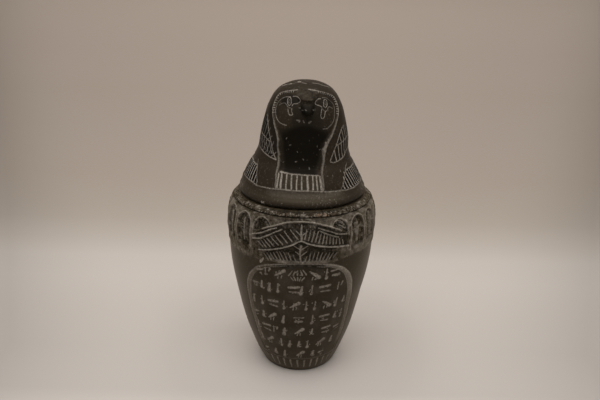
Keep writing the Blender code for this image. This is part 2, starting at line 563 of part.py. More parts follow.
def carve_collar(body):
    """A collar of upright strokes between two lines, open where the lappets cross it."""
    body.turn_stroke(COLLAR_LINE, LINE, -SHALLOW)
    for angle in COLLAR_STROKES:
        ends = [(angle, table(COLLAR_LINE, angle) + 1.6), (angle, table(COLLAR_TOP, angle) - 1.0)]
        body.stroke(ends, WIDE, -SHALLOW)
    for side, edge in LAPPET_OUT.items():
        out = [row[::-1] for row in edge]
        body.stroke(mirrored(out[1:], side), LINE, -SHALLOW)
        first = table(edge, 178) + 1.5
        upper = np.linspace(first, COLLAR_OUTER + COLLAR_PITCH, 8) * side
        body.stroke(np.column_stack([upper, table(SIDE_TOP, upper)]), LINE, -SHALLOW)
        for angle in np.arange(out[1][0] + COLLAR_PITCH, COLLAR_OUTER, COLLAR_PITCH):
            foot = table(COLLAR_LINE, side * angle) + 1.6
            head = min(table(out, angle) - 2.0, table(SIDE_TOP, side * angle) - 1.6)
            if head - foot > 2:
                body.stroke([(side * angle, foot), (side * angle, head)], LINE, -SHALLOW)


def build_lid():
    seat = JAR_HEIGHT + REST_GAP
    foot = seat - PLUG_DEPTH
    plug = MOUTH_RADIUS - PLUG_CLEARANCE
    under = [(LID_OUTLINE[0][0] - EDGE, seat, False), (plug, seat, True), (plug, foot + EDGE, False),
             (plug - EDGE, foot, False), (0, foot, False)]
    crown = LID_OUTLINE[:-1] + [(CROWN_RING, TOTAL_HEIGHT - CROWN_DROP)]
    body = Turning(crown, LID_LEAN, under, [(0, TOTAL_HEIGHT, False)])
    shape_head(body)
    shape_beak(body)
    carve_eyes(body)
    carve_wig(body)
    carve_collar(body)
    return body.mesh("falcon_head_lid")


# ------------------------------------------------------------------ objects
def stone(name, colour, roughness):
    material = bpy.data.materials.new(name)
    material.use_nodes = True
    shader = material.node_tree.nodes["Principled BSDF"]
    shader.inputs["Base Color"].default_value = (*colour, 1.0)
    shader.inputs["Roughness"].default_value = roughness
    shader.inputs["Metallic"].default_value = 0.0
    return material


def add_piece(name, mesh, material):
    mesh.materials.append(material)
    mesh.shade_smooth()
    bpy.context.scene.collection.objects.link(bpy.data.objects.new(name, mesh))


def main():
    for thing in list(bpy.data.objects):
        bpy.data.objects.remove(thing, do_unlink=True)
    dark = stone("dark_stone", (0.026, 0.020, 0.016), 0.42)
    add_piece("jar", build_jar(), dark)
    add_piece("falcon_head_lid", build_lid(), dark.copy())


main()
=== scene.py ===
"""Looks of the carved stone canopic jar: its two pieces as finely carved meshes, the stone's
finish, a pale sweep, soft light and the camera. Lengths are millimetres unless they say metres.
Angles are degrees round the axis from the front, positive towards +X, so a place on a carved
surface is an (angle, height) pair."""
import math

import bpy
import numpy as np
from mathutils import Matrix, Vector


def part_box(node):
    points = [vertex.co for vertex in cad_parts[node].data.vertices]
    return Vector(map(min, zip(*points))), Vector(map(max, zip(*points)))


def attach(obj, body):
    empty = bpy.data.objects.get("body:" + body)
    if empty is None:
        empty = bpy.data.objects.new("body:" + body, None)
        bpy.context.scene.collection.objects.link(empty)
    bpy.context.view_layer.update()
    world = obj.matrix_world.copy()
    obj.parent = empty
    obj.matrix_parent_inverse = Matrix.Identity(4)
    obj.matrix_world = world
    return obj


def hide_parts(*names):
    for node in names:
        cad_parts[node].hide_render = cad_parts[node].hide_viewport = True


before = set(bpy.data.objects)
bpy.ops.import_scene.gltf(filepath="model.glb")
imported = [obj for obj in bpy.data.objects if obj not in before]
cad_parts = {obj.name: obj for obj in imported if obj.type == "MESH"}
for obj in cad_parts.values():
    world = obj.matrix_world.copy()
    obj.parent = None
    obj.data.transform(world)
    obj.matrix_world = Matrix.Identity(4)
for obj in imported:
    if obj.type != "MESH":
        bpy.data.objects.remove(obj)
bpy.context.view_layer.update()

MM = 0.001
DEGREE = np.pi / 180

# ---- sizes that the frame gives ----
JAR_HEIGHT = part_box("jar")[1][2] / MM
PLUG_FOOT, TOTAL_HEIGHT = (corner[2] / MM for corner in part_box("falcon_head_lid"))

# ---- sizes shared with the solids ----
REST_GAP = 0.3
FOOT_RADIUS = 31.8
RIM_RADIUS = 51.6
MOUTH_RADIUS = 40.0
FLOOR = 13.0
PLUG_CLEARANCE = 0.5
EDGE = 1.0

# ---- outlines, (radius, height) ----
JAR_OUTLINE = [
    (FOOT_RADIUS, 1.2), (35.5, 8.2), (40.2, 20.4), (45.5, 36.7), (49.5, 53.1), (52.8, 69.4), (56.1, 85.7),
    (58.2, 102), (58.9, 114.3), (59.3, 122.4), (59.9, 129), (59.7, 134.7), (58.8, 140.4), (57.3, 145.3),
    (55.8, 148.6), (54.4, 150.8), (RIM_RADIUS, JAR_HEIGHT)]
JAR_INSIDE = [
    (MOUTH_RADIUS, 150.6), (MOUTH_RADIUS, 134), (44.5, 124), (46.6, 112), (45.8, 98), (42.6, 74), (37, 46),
    (31, 28), (26, 18), (18, FLOOR + 0.6), (0, FLOOR)]
LID_OUTLINE = [
    (47.4, 152.95), (49.3, 153.7), (50.2, 155.6), (49.9, 158.4), (48.4, 161.6), (46.3, 168.2),
    (43.8, 173.1), (41.1, 178), (37.6, 182.9), (35.3, 189.4), (34.4, 197.6), (32.8, 205.7), (30.8, 213.9),
    (28.9, 220.4), (26.3, 226.1), (23.3, 231), (18.5, 235.5), (10.2, 239), (0, TOTAL_HEIGHT)]
JAR_LEAN = [(0, 0.4), (12, 0), (45, -0.35), (70, -0.45), (100, 0), (152, 0.4)]
LID_LEAN = [
    (153, 0.3), (165, -0.2), (174, -0.4), (182, -0.1), (190, 0.55), (197, 1), (221, 1.15), (240, 1.3)]

# ---- the jar's carving ----
BAND = (114.2, 149)
BAND_RISE = 0.6
RING_GROOVE = 149.4
WING_TOP = 146.8
WING_DROP = 0.0095
WING_SPAN = (-29, 29)
WING_SIDES = (-34, 36)
LOWER_WING = (-27, 26)
WING_FOLDS = [
    [(-37, 133), (-30, 135.5), (-25, 138.4), (-18, 141.5)],
    [(-37, 129.8), (-30, 131.8), (-25, 134.4), (-20, 137.5), (-14, 140.8)],
    [(12, 142.6), (20, 139.5), (27, 136.6), (34, 135.3)], [(13, 140.4), (20, 137), (27, 134.4)]]
WING_EDGE = [
    (-32, 121.8), (-26, 122.9), (-20, 124.6), (-15, 126.3), (-10, 128.3), (-5, 130.7), (0, 133.2),
    (5, 131.2), (10, 129.6), (15, 128.6), (20, 127.8), (27, 126.6), (36, 125.7)]
FEATHERS = [                 # angle and height of each one's foot, then of its head
    (-2.5, 134.3, -8, 141.3), (-6.5, 132.5, -12.5, 140), (-9.7, 131, -15.3, 137.3), (-13, 129.5, -19, 136),
    (-16, 128.5, -22, 134.5), (-19.5, 127.2, -25, 132.8), (-22.5, 126.2, -27.5, 131.6),
    (-25.5, 125.3, -30, 130.2), (-28.2, 124.6, -32, 128.6),
    (2.5, 134.6, 3.8, 142), (4.8, 133.6, 6.6, 141.5), (7.2, 132.8, 9.2, 140.8), (9.7, 132, 11.7, 139.8),
    (12.3, 131.4, 14, 138.8), (15, 130.7, 16.2, 138), (17.7, 130.2, 18.2, 136.8), (20.3, 129.8, 20.5, 135.8),
    (23, 129.4, 23, 135), (25.5, 129, 25.3, 134.2), (28.2, 128.6, 27.7, 133), (31.2, 128.2, 30.5, 131.6),
    (-3.5, 116, -5.5, 121.5), (-6.5, 115.8, -9, 123), (-9, 115.5, -12.3, 123.5), (-11.5, 115.5, -15, 123.5),
    (-14, 115.5, -17.2, 123.2), (-16.5, 115.5, -19.8, 122), (-19, 115.5, -22.4, 121.2),
    (-21.5, 115.5, -25, 120.5), (-24, 115.5, -27.5, 120), (3.5, 116.5, 4.5, 121), (6, 116.8, 7, 123),
    (8.5, 116.5, 9.5, 124), (11, 116.5, 12.5, 124), (13.5, 116.5, 15.5, 123.5), (16, 116.8, 18.5, 123),
    (18.5, 117, 21, 122.5), (21, 117.2, 23.8, 122), (23.8, 118, 26.4, 121.5)]
STEMS = [[(0, 134.5), (0, 145)], [(0, 129.5), (-0.5, 122), (0, 115.5)]]
STEM_TICKS = [(0, 137, 4), (0, 126, 5), (0, 121, 4)]
BAND_FOOT = [
    (-180, 114.2), (-70, 113.4), (-56, 112.8), (-38, 112.8), (-29, 114.2), (28, 114.2), (36, 116.2),
    (60, 116.3), (75, 115), (180, 114.2)]
# each niche: middle, half width, tone of its floor, paleness of its rim and of the bud in it, if any
ARCHES = [(-84.1, 6.2, 0.12, 0.58, 0), (-65.3, 6.7, 0.12, 0.58, 0), (-47.4, 7.1, 0.12, 0.58, 0),
          (-29.6, 7.4, 0.12, 0.48, 0), (29, 7, 0.12, 0.48, 0), (45.6, 6.4, 0.3, 0.58, 0.12),
          (62.6, 7, 0.6, 0.32, 0.28), (82.2, 6.2, 0.75, 0.58, 0.28)]
ARCH_FOOT, ARCH_HEAD = 122, 147
BUD_WAIST, BUD_WIDTH = 135.5, 4.6
NICHE = 1.5                  # how deep they are
RIM_OUT = 0.9                # how far their rims stand outside them, in degrees
JAR_WIDEST = 60              # the radius that turns their angles into lengths
CURLS = [[(24.6, 145.6), (28, 146.2), (31.4, 144.8), (33, 142)], [(29, 142.6), (31, 141.2), (33.6, 139.6)]]
BETWEEN = [(-57, 145), (-38.4, 146), (37.8, 130), (55.8, 145)]     # worn ridges between niches
BESIDE_WING = 40
# pale dust: how much, from and to which angle and how softly, and the same of the height
BELT_DUST = [(0.12, (6, 30, 6), (144, 148.6, 1.5)), (0.07, (-22, -12, 4), (145, 148.6, 1.5)),
             (0.48, (-77, -67, 4), (143.5, 149, 1.5)), (0.3, (-58, -54, 2), (140.5, 147, 1.5)),
             (0.2, (34.5, 39, 2), (140, 149, 1.5)), (0.25, (66, 80, 4), (146, 149.5, 1.5)),
             (0.28, (38, 43, 3), (147, 149.6, 1)), (0.3, (50, 58, 3), (146.4, 149.6, 1)),
             (0.22, (-60, -50, 4), (146, 148.6, 1.5))]
# painted light that lifts the shade in two outer niches, partly pale dust too; same columns
NICHE_DUST_AND_LIGHT = [(0.3, (61.5, 75, 3), (124, 144, 4)), (0.16, (-75, -67, 3), (122, 144, 4))]
# the frame's outer and inner line, left and right of the front: (height, angle) up to the crown
FRAME_OUTER = (
    [(20, -44.5), (34, -45.5), (47, -46.5), (58, -48.2), (68, -48.8), (79, -48.2), (86, -47.2), (92, -45.4),
     (99, -41.5), (104.5, -36), (108.6, -29), (112, -18), (114, -5), (114.2, 0)],
    [(20, 50), (34, 51), (47, 51.6), (60, 51), (72, 50), (80, 48.8), (87, 47), (96, 43.4), (104, 37),
     (109.4, 29.8), (112.6, 20), (114, 8), (114.2, 0)])
FRAME_INNER = (
    [(20, -40.5), (34, -41.2), (47, -42), (58, -43.6), (69, -44.7), (80, -44), (91, -41.8), (98, -38.2),
     (104, -32.5), (109.2, -22), (111.6, -10), (112, 0)],
    [(20, 45.5), (40, 46.8), (55, 46.8), (71, 44.8), (85, 42.6), (94, 39.6), (101, 35.4), (106.4, 30),
     (109.6, 23), (111.6, 12), (112, 0)])
FRAME_FOOT = 20
BASE_LINE = 16.3
FOOT_STROKES = (4.6, 14.4)
FOOT_PITCH = 8.8
# the rows of strokes: middle height, and (angle, kind) of each mark
TALL, SHORT, RISING, FALLING, BAR, BARS, PAIR, WEDGE, DASH, SPRAY = range(10)
WRITING = [
    (104.2, [(-32, DASH), (-25.5, PAIR), (-15.5, RISING), (-2, SPRAY), (10.5, FALLING), (20, TALL),
            (28, BAR)]),
    (91, [(-37, DASH), (-31, SHORT), (-24, WEDGE), (-17, TALL), (-4.5, BARS), (1.5, WEDGE), (9.5, TALL),
            (20, BARS), (33, PAIR)]),
    (75.5, [(-41, WEDGE), (-32.5, TALL), (-22, BARS), (-12.5, TALL), (-3.5, RISING), (6, TALL), (13, TALL),
            (23, FALLING), (32.5, WEDGE), (40.5, SHORT)]),
    (61.5, [(-41, DASH), (-33, SHORT), (-24.5, RISING), (-13.5, WEDGE), (0, BAR), (12, TALL), (23, BARS),
            (34, SHORT), (41, TALL)]),
    (48.5, [(-42, SHORT), (-32, BARS), (-22.5, PAIR), (-13.5, WEDGE), (0.5, RISING), (12.5, SHORT),
            (26.5, BARS), (39, DASH)]),
    (35, [(-41, SHORT), (-31, RISING), (-18, TALL), (-9, WEDGE), (0.5, SHORT), (9.5, TALL), (23, RISING),
            (36, SHORT)]),
    (22.4, [(-39, DASH), (-27, SHORT), (-15.5, WEDGE), (2, RISING), (17, SHORT), (27, DASH)])]
# the strokes of each kind: aside and up from its middle, half its run across and up, width, taper
LEGS = [(-1.4, -2.6, 0.2, 1.2, 0.9), (1.2, -2.4, 0.2, 1.2, 0.9)]
MARKS = {
    TALL: [(0, 0.6, 0.2, 3.6, 1.2), (0, -3, 0.3, 0.5, 2.4)],
    SHORT: [(0, 0.8, 0.4, 2.4, 2, (1.3, 0.8)), (1.6, -2.6, 0.5, 0.3, 1.2)],
    RISING: [(0, 0.8, 3.4, 2.4, 2.9, (0.45, 1.15))] + LEGS,
    FALLING: [(0, 0.8, -3.4, 2.4, 2.9, (1.15, 0.45))] + LEGS,
    BAR: [(0, 2.2, 4.4, 0.2, 1.3), (0, -1.8, 2.8, 0, 2.6, (0.8, 0.8))],
    BARS: [(0, 2.4, 4, 0.3, 2.6, (0.9, 0.9)), (0.4, -2.2, 3.6, -0.2, 1.5, (0.8, 1.1))],
    PAIR: [(-1.6, 0.4, 0.2, 3.2, 1.2, (1.2, 0.7)), (1.9, 1.9, 0.4, 1.1, 1.6, (0.7, 1.2))],
    WEDGE: [(0, 0, 0.6, 3.4, 2.6, (1.2, 0.5))],
    DASH: [(0, 0.6, 2.4, 0.5, 2.2, (1.1, 0.6)), (0.8, -2.6, 0.6, 0.2, 1.2)],
    SPRAY: [stroke for out in (-5.2, -2.6, 0, 2.6, 5.2)
            for stroke in ((out, 2.2 + 0.1 * out, -0.25 * out, 2, 1.1, (1.2, 0.7)),
                           (0.8 * out, -3, 0.2 * out, 1.4, 1))]}
CHIP = [(-28.2, 115.2), (-31.2, 111.2)]

# ---- the lid's carving ----
WIG_LEFT = [
    (166.5, -24.2), (172, -25.2), (179, -27), (184.2, -28.8), (188, -30.8), (194.2, -33.5), (199.2, -34.8),
    (204.3, -38.4), (209.9, -44), (216.1, -50.8), (221.8, -55.8), (225.5, -57.4), (229, -57.6),
    (231.4, -55.2), (232.7, -49), (233.9, -38), (235.2, -18)]
WIG_RIGHT = [
    (166.5, 19.8), (174, 21), (178, 21), (182, 23.1), (186.8, 25.6), (192, 26.8), (198, 29.8),
    (202.4, 35.9), (206.8, 41.3), (211.8, 47.8), (218, 55.3), (222.4, 58.5), (226, 59.8), (229.4, 58.9),
    (231.2, 54), (232.7, 45.3), (233.9, 31.5), (235, 19.3), (235.6, 5)]
WIG_EDGE, WIG_RISE = 1.8, 0.7
WIG_STEP = 4                 # degrees over which the face is set back
HAIRLINE, TICKS_FROM = 213, 217
TICK_LENGTH, TICK_PITCH, TICKS_ASIDE = 1.0, 1.75, 24
OPENING_DEPTH = [
    (166, 0.5), (178.4, 0.6), (179.6, 4), (184, 3.2), (189, 2.6), (199, 2.4), (204, 1.8), (209, 0.7),
    (214, 0.5), (232, 0.7), (236, 0)]
THROAT_TOP, THROAT_SLOPE = 217, 0.34      # the chin's height, and its drop per degree aside
FACE_TURN = 3.6              # degrees from the front to the beak
BEAK = [
    (216, 0, 2.4), (217.6, 0.6, 2.4), (218.8, 2.8, 2.5), (220.2, 4.6, 2.9), (222, 5.2, 3.5), (224, 4.7, 4),
    (225.8, 3.4, 4.1), (227.2, 2.6, 4.2), (228.4, 3.2, 4.6), (229.6, 4.6, 5.2), (230.8, 4.4, 5.8),
    (232.4, 3, 6.4), (234.4, 1.2, 7), (236.4, 0, 7.4)]
BEAK_FLAT, BEAK_SPREAD = 0.3, 1.6
EYES = {-1: (-27.3, 227.7), 1: (33.6, 226.1)}
PUPIL = (3.9, 2.8)           # half its width in degrees, half its height in mm
PUPIL_PLACE, PUPIL_SHEAR = {-1: (1.2, 0.1), 1: (1.5, 0.5)}, 0.7
EYE_LINES = {                # degrees outward from the eye's middle, mm up: almond, cheek, lid, tear mark
    -1: [[(-5.6, -2.8), (-6.9, -1.3), (-11, -1.1), (-15.3, -0.6), (-19.4, 1.5), (-14, 3.4), (-7.8, 3.7),
          (-3.4, 3.4)],
         [(1.6, 3.1), (8.5, 2.8), (14.1, 2.2), (19.7, 0.9), (22.8, -0.6), (24.7, -2.8), (24.4, -5.3),
          (22.8, -7.8), (20.3, -10.3), (17.2, -12.5), (12.8, -14.4), (8.5, -15.5), (1.6, -16.2),
          (-1.5, -16.3)],
         [(-3.4, -4.1), (0.3, -3.8), (3.5, -2.8), (7.2, -1.6), (11.6, -1.6), (15.3, -2.2), (19.1, -3.5)],
         [(0.3, -5), (-1.6, -7.2), (-4, -8.8), (-6.9, -9.1), (-9.4, -8.1), (-6.9, -6.9), (-5.9, -4.4)]],
    1: [[(-7, -1.5), (-11, -0.5), (-14.7, -0.1), (-17.8, 1), (-14.7, 2.8), (-10.4, 3.8), (-5.6, 3.9)],
        [(-1.6, 4.3), (5.9, 4.1), (11.5, 2.5), (16.5, 0.6), (18.9, -1.2), (18.4, -3.7), (16.2, -6.2),
         (14, -9.4), (10.9, -12.2), (5.9, -14.4), (1.5, -15.9), (-2.2, -17), (-8.5, -17)],
        [(-7, -2), (-4.4, -3.9), (-1, -4.8), (2.6, -4.1), (5.4, -2.2), (9.7, -2.4), (13.4, -3.7)],
        [(-7.6, -3.1), (-9.1, -5.6), (-10.4, -8.1), (-8.5, -9.7), (-4.7, -8.7), (-2.9, -6.2), (-1.6, -4.7)]]}
COLLAR_TOP = [(-27, 178.4), (20, 176.8)]
COLLAR_LINE = [
    (-180, 165.6), (-72, 167.1), (-54, 166.8), (-45, 166.1), (-30, 166.6), (-24, 167.3), (9, 167.2),
    (18, 166.1), (37, 165.1), (54, 164.1), (80, 164.8), (180, 165.6)]
SIDE_TOP = [(-180, 178), (-76, 179.4), (-56, 178.2), (51, 176.6), (60, 177.4), (90, 177.4), (180, 178)]
LAPPET_OUT = {-1: [(164, 43), (168.6, 46.4), (174.9, 52.6), (178, 55.4), (182, 63)],
              1: [(162, 36), (165.5, 38.3), (171.4, 45.8), (176.4, 51.4), (178.9, 54.5), (182.4, 67)]}
SHOULDER_DROP = 0.8
# angle and width of the collar's strokes
COLLAR_STROKES = [
    (-24.6, 1.4), (-21.2, 1.9), (-15.5, 1.5), (-10.3, 1.55), (-5, 1.4), (0, 1.35), (5.7, 2.05),
    (10.7, 1.45), (14.6, 1.6), (18.7, 2.1)]
COLLAR_PITCH = {-1: 4.7, 1: 4.3}
COLLAR_LEAN = {-1: 0.8, 1: -4}     # degrees outward over LEAN_HEIGHT
LEAN_HEIGHT = 11
COLLAR_OUTER = 106
NETS = {                     # inner edge, middle and foot of each netted panel, degrees outward
    -1: ([(33.8, 186.2), (38.9, 189.3), (43.9, 194.3), (48.3, 199.9), (55.1, 205), (61.4, 210.5),
          (68.9, 215.8)],
         [(49.5, 197.7), (60.1, 199.6), (72, 200.8), (96, 202)],
         [(33.8, 185.8), (43.2, 186.7), (57, 188.1), (69.5, 189.9), (96, 191.5)]),
    1: ([(34, 185.4), (37.9, 188.9), (40.8, 193.4), (43.8, 196.8), (52, 203.3), (59.5, 207.4),
         (68, 208.9)],
        [(43.8, 197), (47.6, 196.3), (58.2, 197.5), (72, 199.4), (96, 201)],
        [(34.6, 184.6), (39.5, 183.6), (46.4, 184.6), (58.2, 186.1), (70, 189.2), (96, 191)])}
NET_OUTER = 96
NET_HEAD = 214
NET_PITCH, LOWER_NET, UPPER_NET = 6.4, 41, 52      # of the upright lines, and where each row starts
NET_GAP = 0.8
LOCK_PITCH = 14
LOCKS = (187, 226)
# loose lines on the wig: points, width, pale dust, taper, unsteadiness
WIG_LINES = [([(6, 235.6), (19, 235)], 1, 0.95, (1, 1), 0.3),
             ([(-18, 235.2), (-34, 234.2), (-46, 233.1)], 0.8, 0.95),
             ([(24.2, 187), (26.2, 193.5)], 2.9, 0.6, (0.3, 1)),
             ([(26.2, 193.5), (29.2, 199)], 2.9, 0.6, (1, 0.3))]
# scratches over the crown: points, width, pale dust
CROWN_SCRATCHES = [
    ([(-80, 235.7), (-71, 237)], 1.5, 1.1), ([(-71, 237), (-41, 239.3)], 0.8, 0.5),
    ([(-64, 237.8), (-57, 238.2)], 1.5, 1.1), ([(-43, 239.4), (-33, 239.5)], 1.9, 2),
    ([(-20, 239.2), (0, 239.1)], 1, 0.7),
    ([(31, 239.2), (50.8, 238.8), (64.2, 237.2), (78, 235.4)], 0.9, 0.85)]
# small pale flecks: angle, height, width
LID_FLECKS = [
    (-24.5, 201.8, 1.3), (-18.9, 197, 1.5), (-8.6, 192.4, 1), (-8.2, 185.5, 1.6), (-24.8, 184.2, 1),
    (0, 187, 1.2), (17, 196.8, 1.2), (21.4, 194, 1.2), (8.6, 181.1, 1.4), (-9.8, 215.4, 2),
    (-7.4, 214.6, 1.2), (-1.6, 214.8, 1.6), (7.3, 214.2, 2.1), (-9, 224, 1.3), (-4, 222.8, 1.2),
    (1, 223.4, 1), (11.2, 223, 1.5), (14.5, 223.2, 1.2), (-35, 155.6, 1.9), (-36.5, 156.6, 1),
    (-17, 157.5, 1), (22.5, 158, 1), (26.4, 176, 0.9), (32.6, 176.2, 1.1), (44.5, 177.9, 1.4)]
BRIGHT_FLECK = (-35.2, 155.7, 2.4)

# ---- tool marks ----
LINE, FINE, WIDE = 1.4, 1.0, 1.8
CUT, SHALLOW = 0.6, 0.45
SOFT = 1.2
FAINT = 0.15                 # how deep scratches and flecks are
WOBBLE = 0.13                # how unsteady the hand was
SMOOTHING = np.ones(5) / 2.24      # 2.24 squared is about 5, so the smoothed values spread as before
WIDTH_SPREAD = 0.12
STROKE_STEP = 1.2            # mm between the points of a stroke
RUN = 8                      # steps that share one paleness

# ---- mesh density ----
FRONT_STEP, BACK_STEP = ((0.32, 0.8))     # degrees
FRONT_HALF = 84.0
CARVED_STEP = 0.33
PLAIN_STEP = 2.5
MOST_TRIANGLES = 192000


# ------------------------------------------------------------------ curves and noise
def length_along(points):
    """How far along the line each of its points is."""
    return np.concatenate([[0], np.cumsum(np.hypot(*np.diff(points, axis=0).T))])


def even(points, step):
    """The same line with its points an even distance, about step, apart."""
    points = np.array(points, float)
    run = length_along(points)
    at = np.linspace(0, run[-1], max(1, int(round(run[-1] / step))) + 1)
    return np.column_stack([np.interp(at, run, points[:, 0]), np.interp(at, run, points[:, 1])])


def smooth_curve(points, step=1.0):
    """A Catmull-Rom curve through the points, cut evenly."""
    p = np.array(points, float)
    p = np.vstack([2 * p[0] - p[1], p, 2 * p[-1] - p[-2]])
    t = np.linspace(0, 1, 24, endpoint=False)[:, None]
    pieces = []
    for a, b, c, d in zip(p[:-3], p[1:-2], p[2:-1], p[3:]):
        square, cube = 2 * a - 5 * b + 4 * c - d, 3 * b - a - 3 * c + d
        pieces.append(0.5 * (2 * b + (c - a) * t + square * t**2 + cube * t**3))
    return even(np.vstack(pieces + [p[-2:-1]]), step)


def table(rows, value, column=1):
    """Reads a column of a table, straight between its rows."""
    rows = np.array(rows)
    return np.interp(value, rows[:, 0], rows[:, column])


def ramp(value, low, high):
    """0 up to low, 1 from high, smooth between."""
    t = np.clip((value - low) / (high - low), 0, 1)
    return t * t * (3 - 2 * t)


def window(value, low, high, soft):
    """1 between low and high and 0 outside, with edges as wide as soft."""
    return ramp(value, low - soft / 2, low + soft / 2) * (1 - ramp(value, high - soft / 2, high + soft / 2))


def over(value, edge):
    """0 below an edge and 1 above it, over 1 mm."""
    return ramp(value, edge - 0.5, edge + 0.5)


def between(values, low, high):
    """Which of the values lie between two limits."""
    return np.flatnonzero((values > low) & (values < high))


def circle(height, count):
    """A line of places all round the axis."""
    return [(angle, height) for angle in np.linspace(-180, 180, count)]


def mirrored(points, side):
    """Points given outward from the front, on the left (-1) or the right (1)."""
    return [(side * angle, height) for angle, height in points]


class Noise:
    """Smooth value noise from -1 to 1 over points in mm."""
    SIDE = 32

    def __init__(self, seed):
        self.cells = np.random.default_rng(seed).uniform(-1, 1, (self.SIDE,) * 3)

    def __call__(self, x, y, z, size):
        low, part = [], []
        for value in (x, y, z):
            scaled = value / size + 1000.0      # far enough to stay above 0
            whole = np.floor(scaled).astype(int)
            fraction = scaled - whole
            low.append(whole)
            part.append(fraction * fraction * (3 - 2 * fraction))
        total = 0
        for corner in range(8):
            weight, index = 1, []
            for axis in range(3):
                up = corner >> axis & 1
                weight = weight * (part[axis] if up else 1 - part[axis])
                index.append((low[axis] + up) % self.SIDE)
            total = total + weight * self.cells[index[0], index[1], index[2]]
        return total


# ------------------------------------------------------------------ a turned and carved body
def columns():
    """Angles of the columns: close together over the carved front, wider behind."""
    front = np.linspace(-FRONT_HALF, FRONT_HALF, int(2 * FRONT_HALF / FRONT_STEP) + 1)
    back = np.linspace(FRONT_HALF, 360 - FRONT_HALF, int((360 - 2 * FRONT_HALF) / BACK_STEP) + 1)[1:-1]
    left = back[back >= 180] - 360
    return np.concatenate([left, front, back[back < 180]])


LAYERS = ("pale", "rough", "tone", "warm")


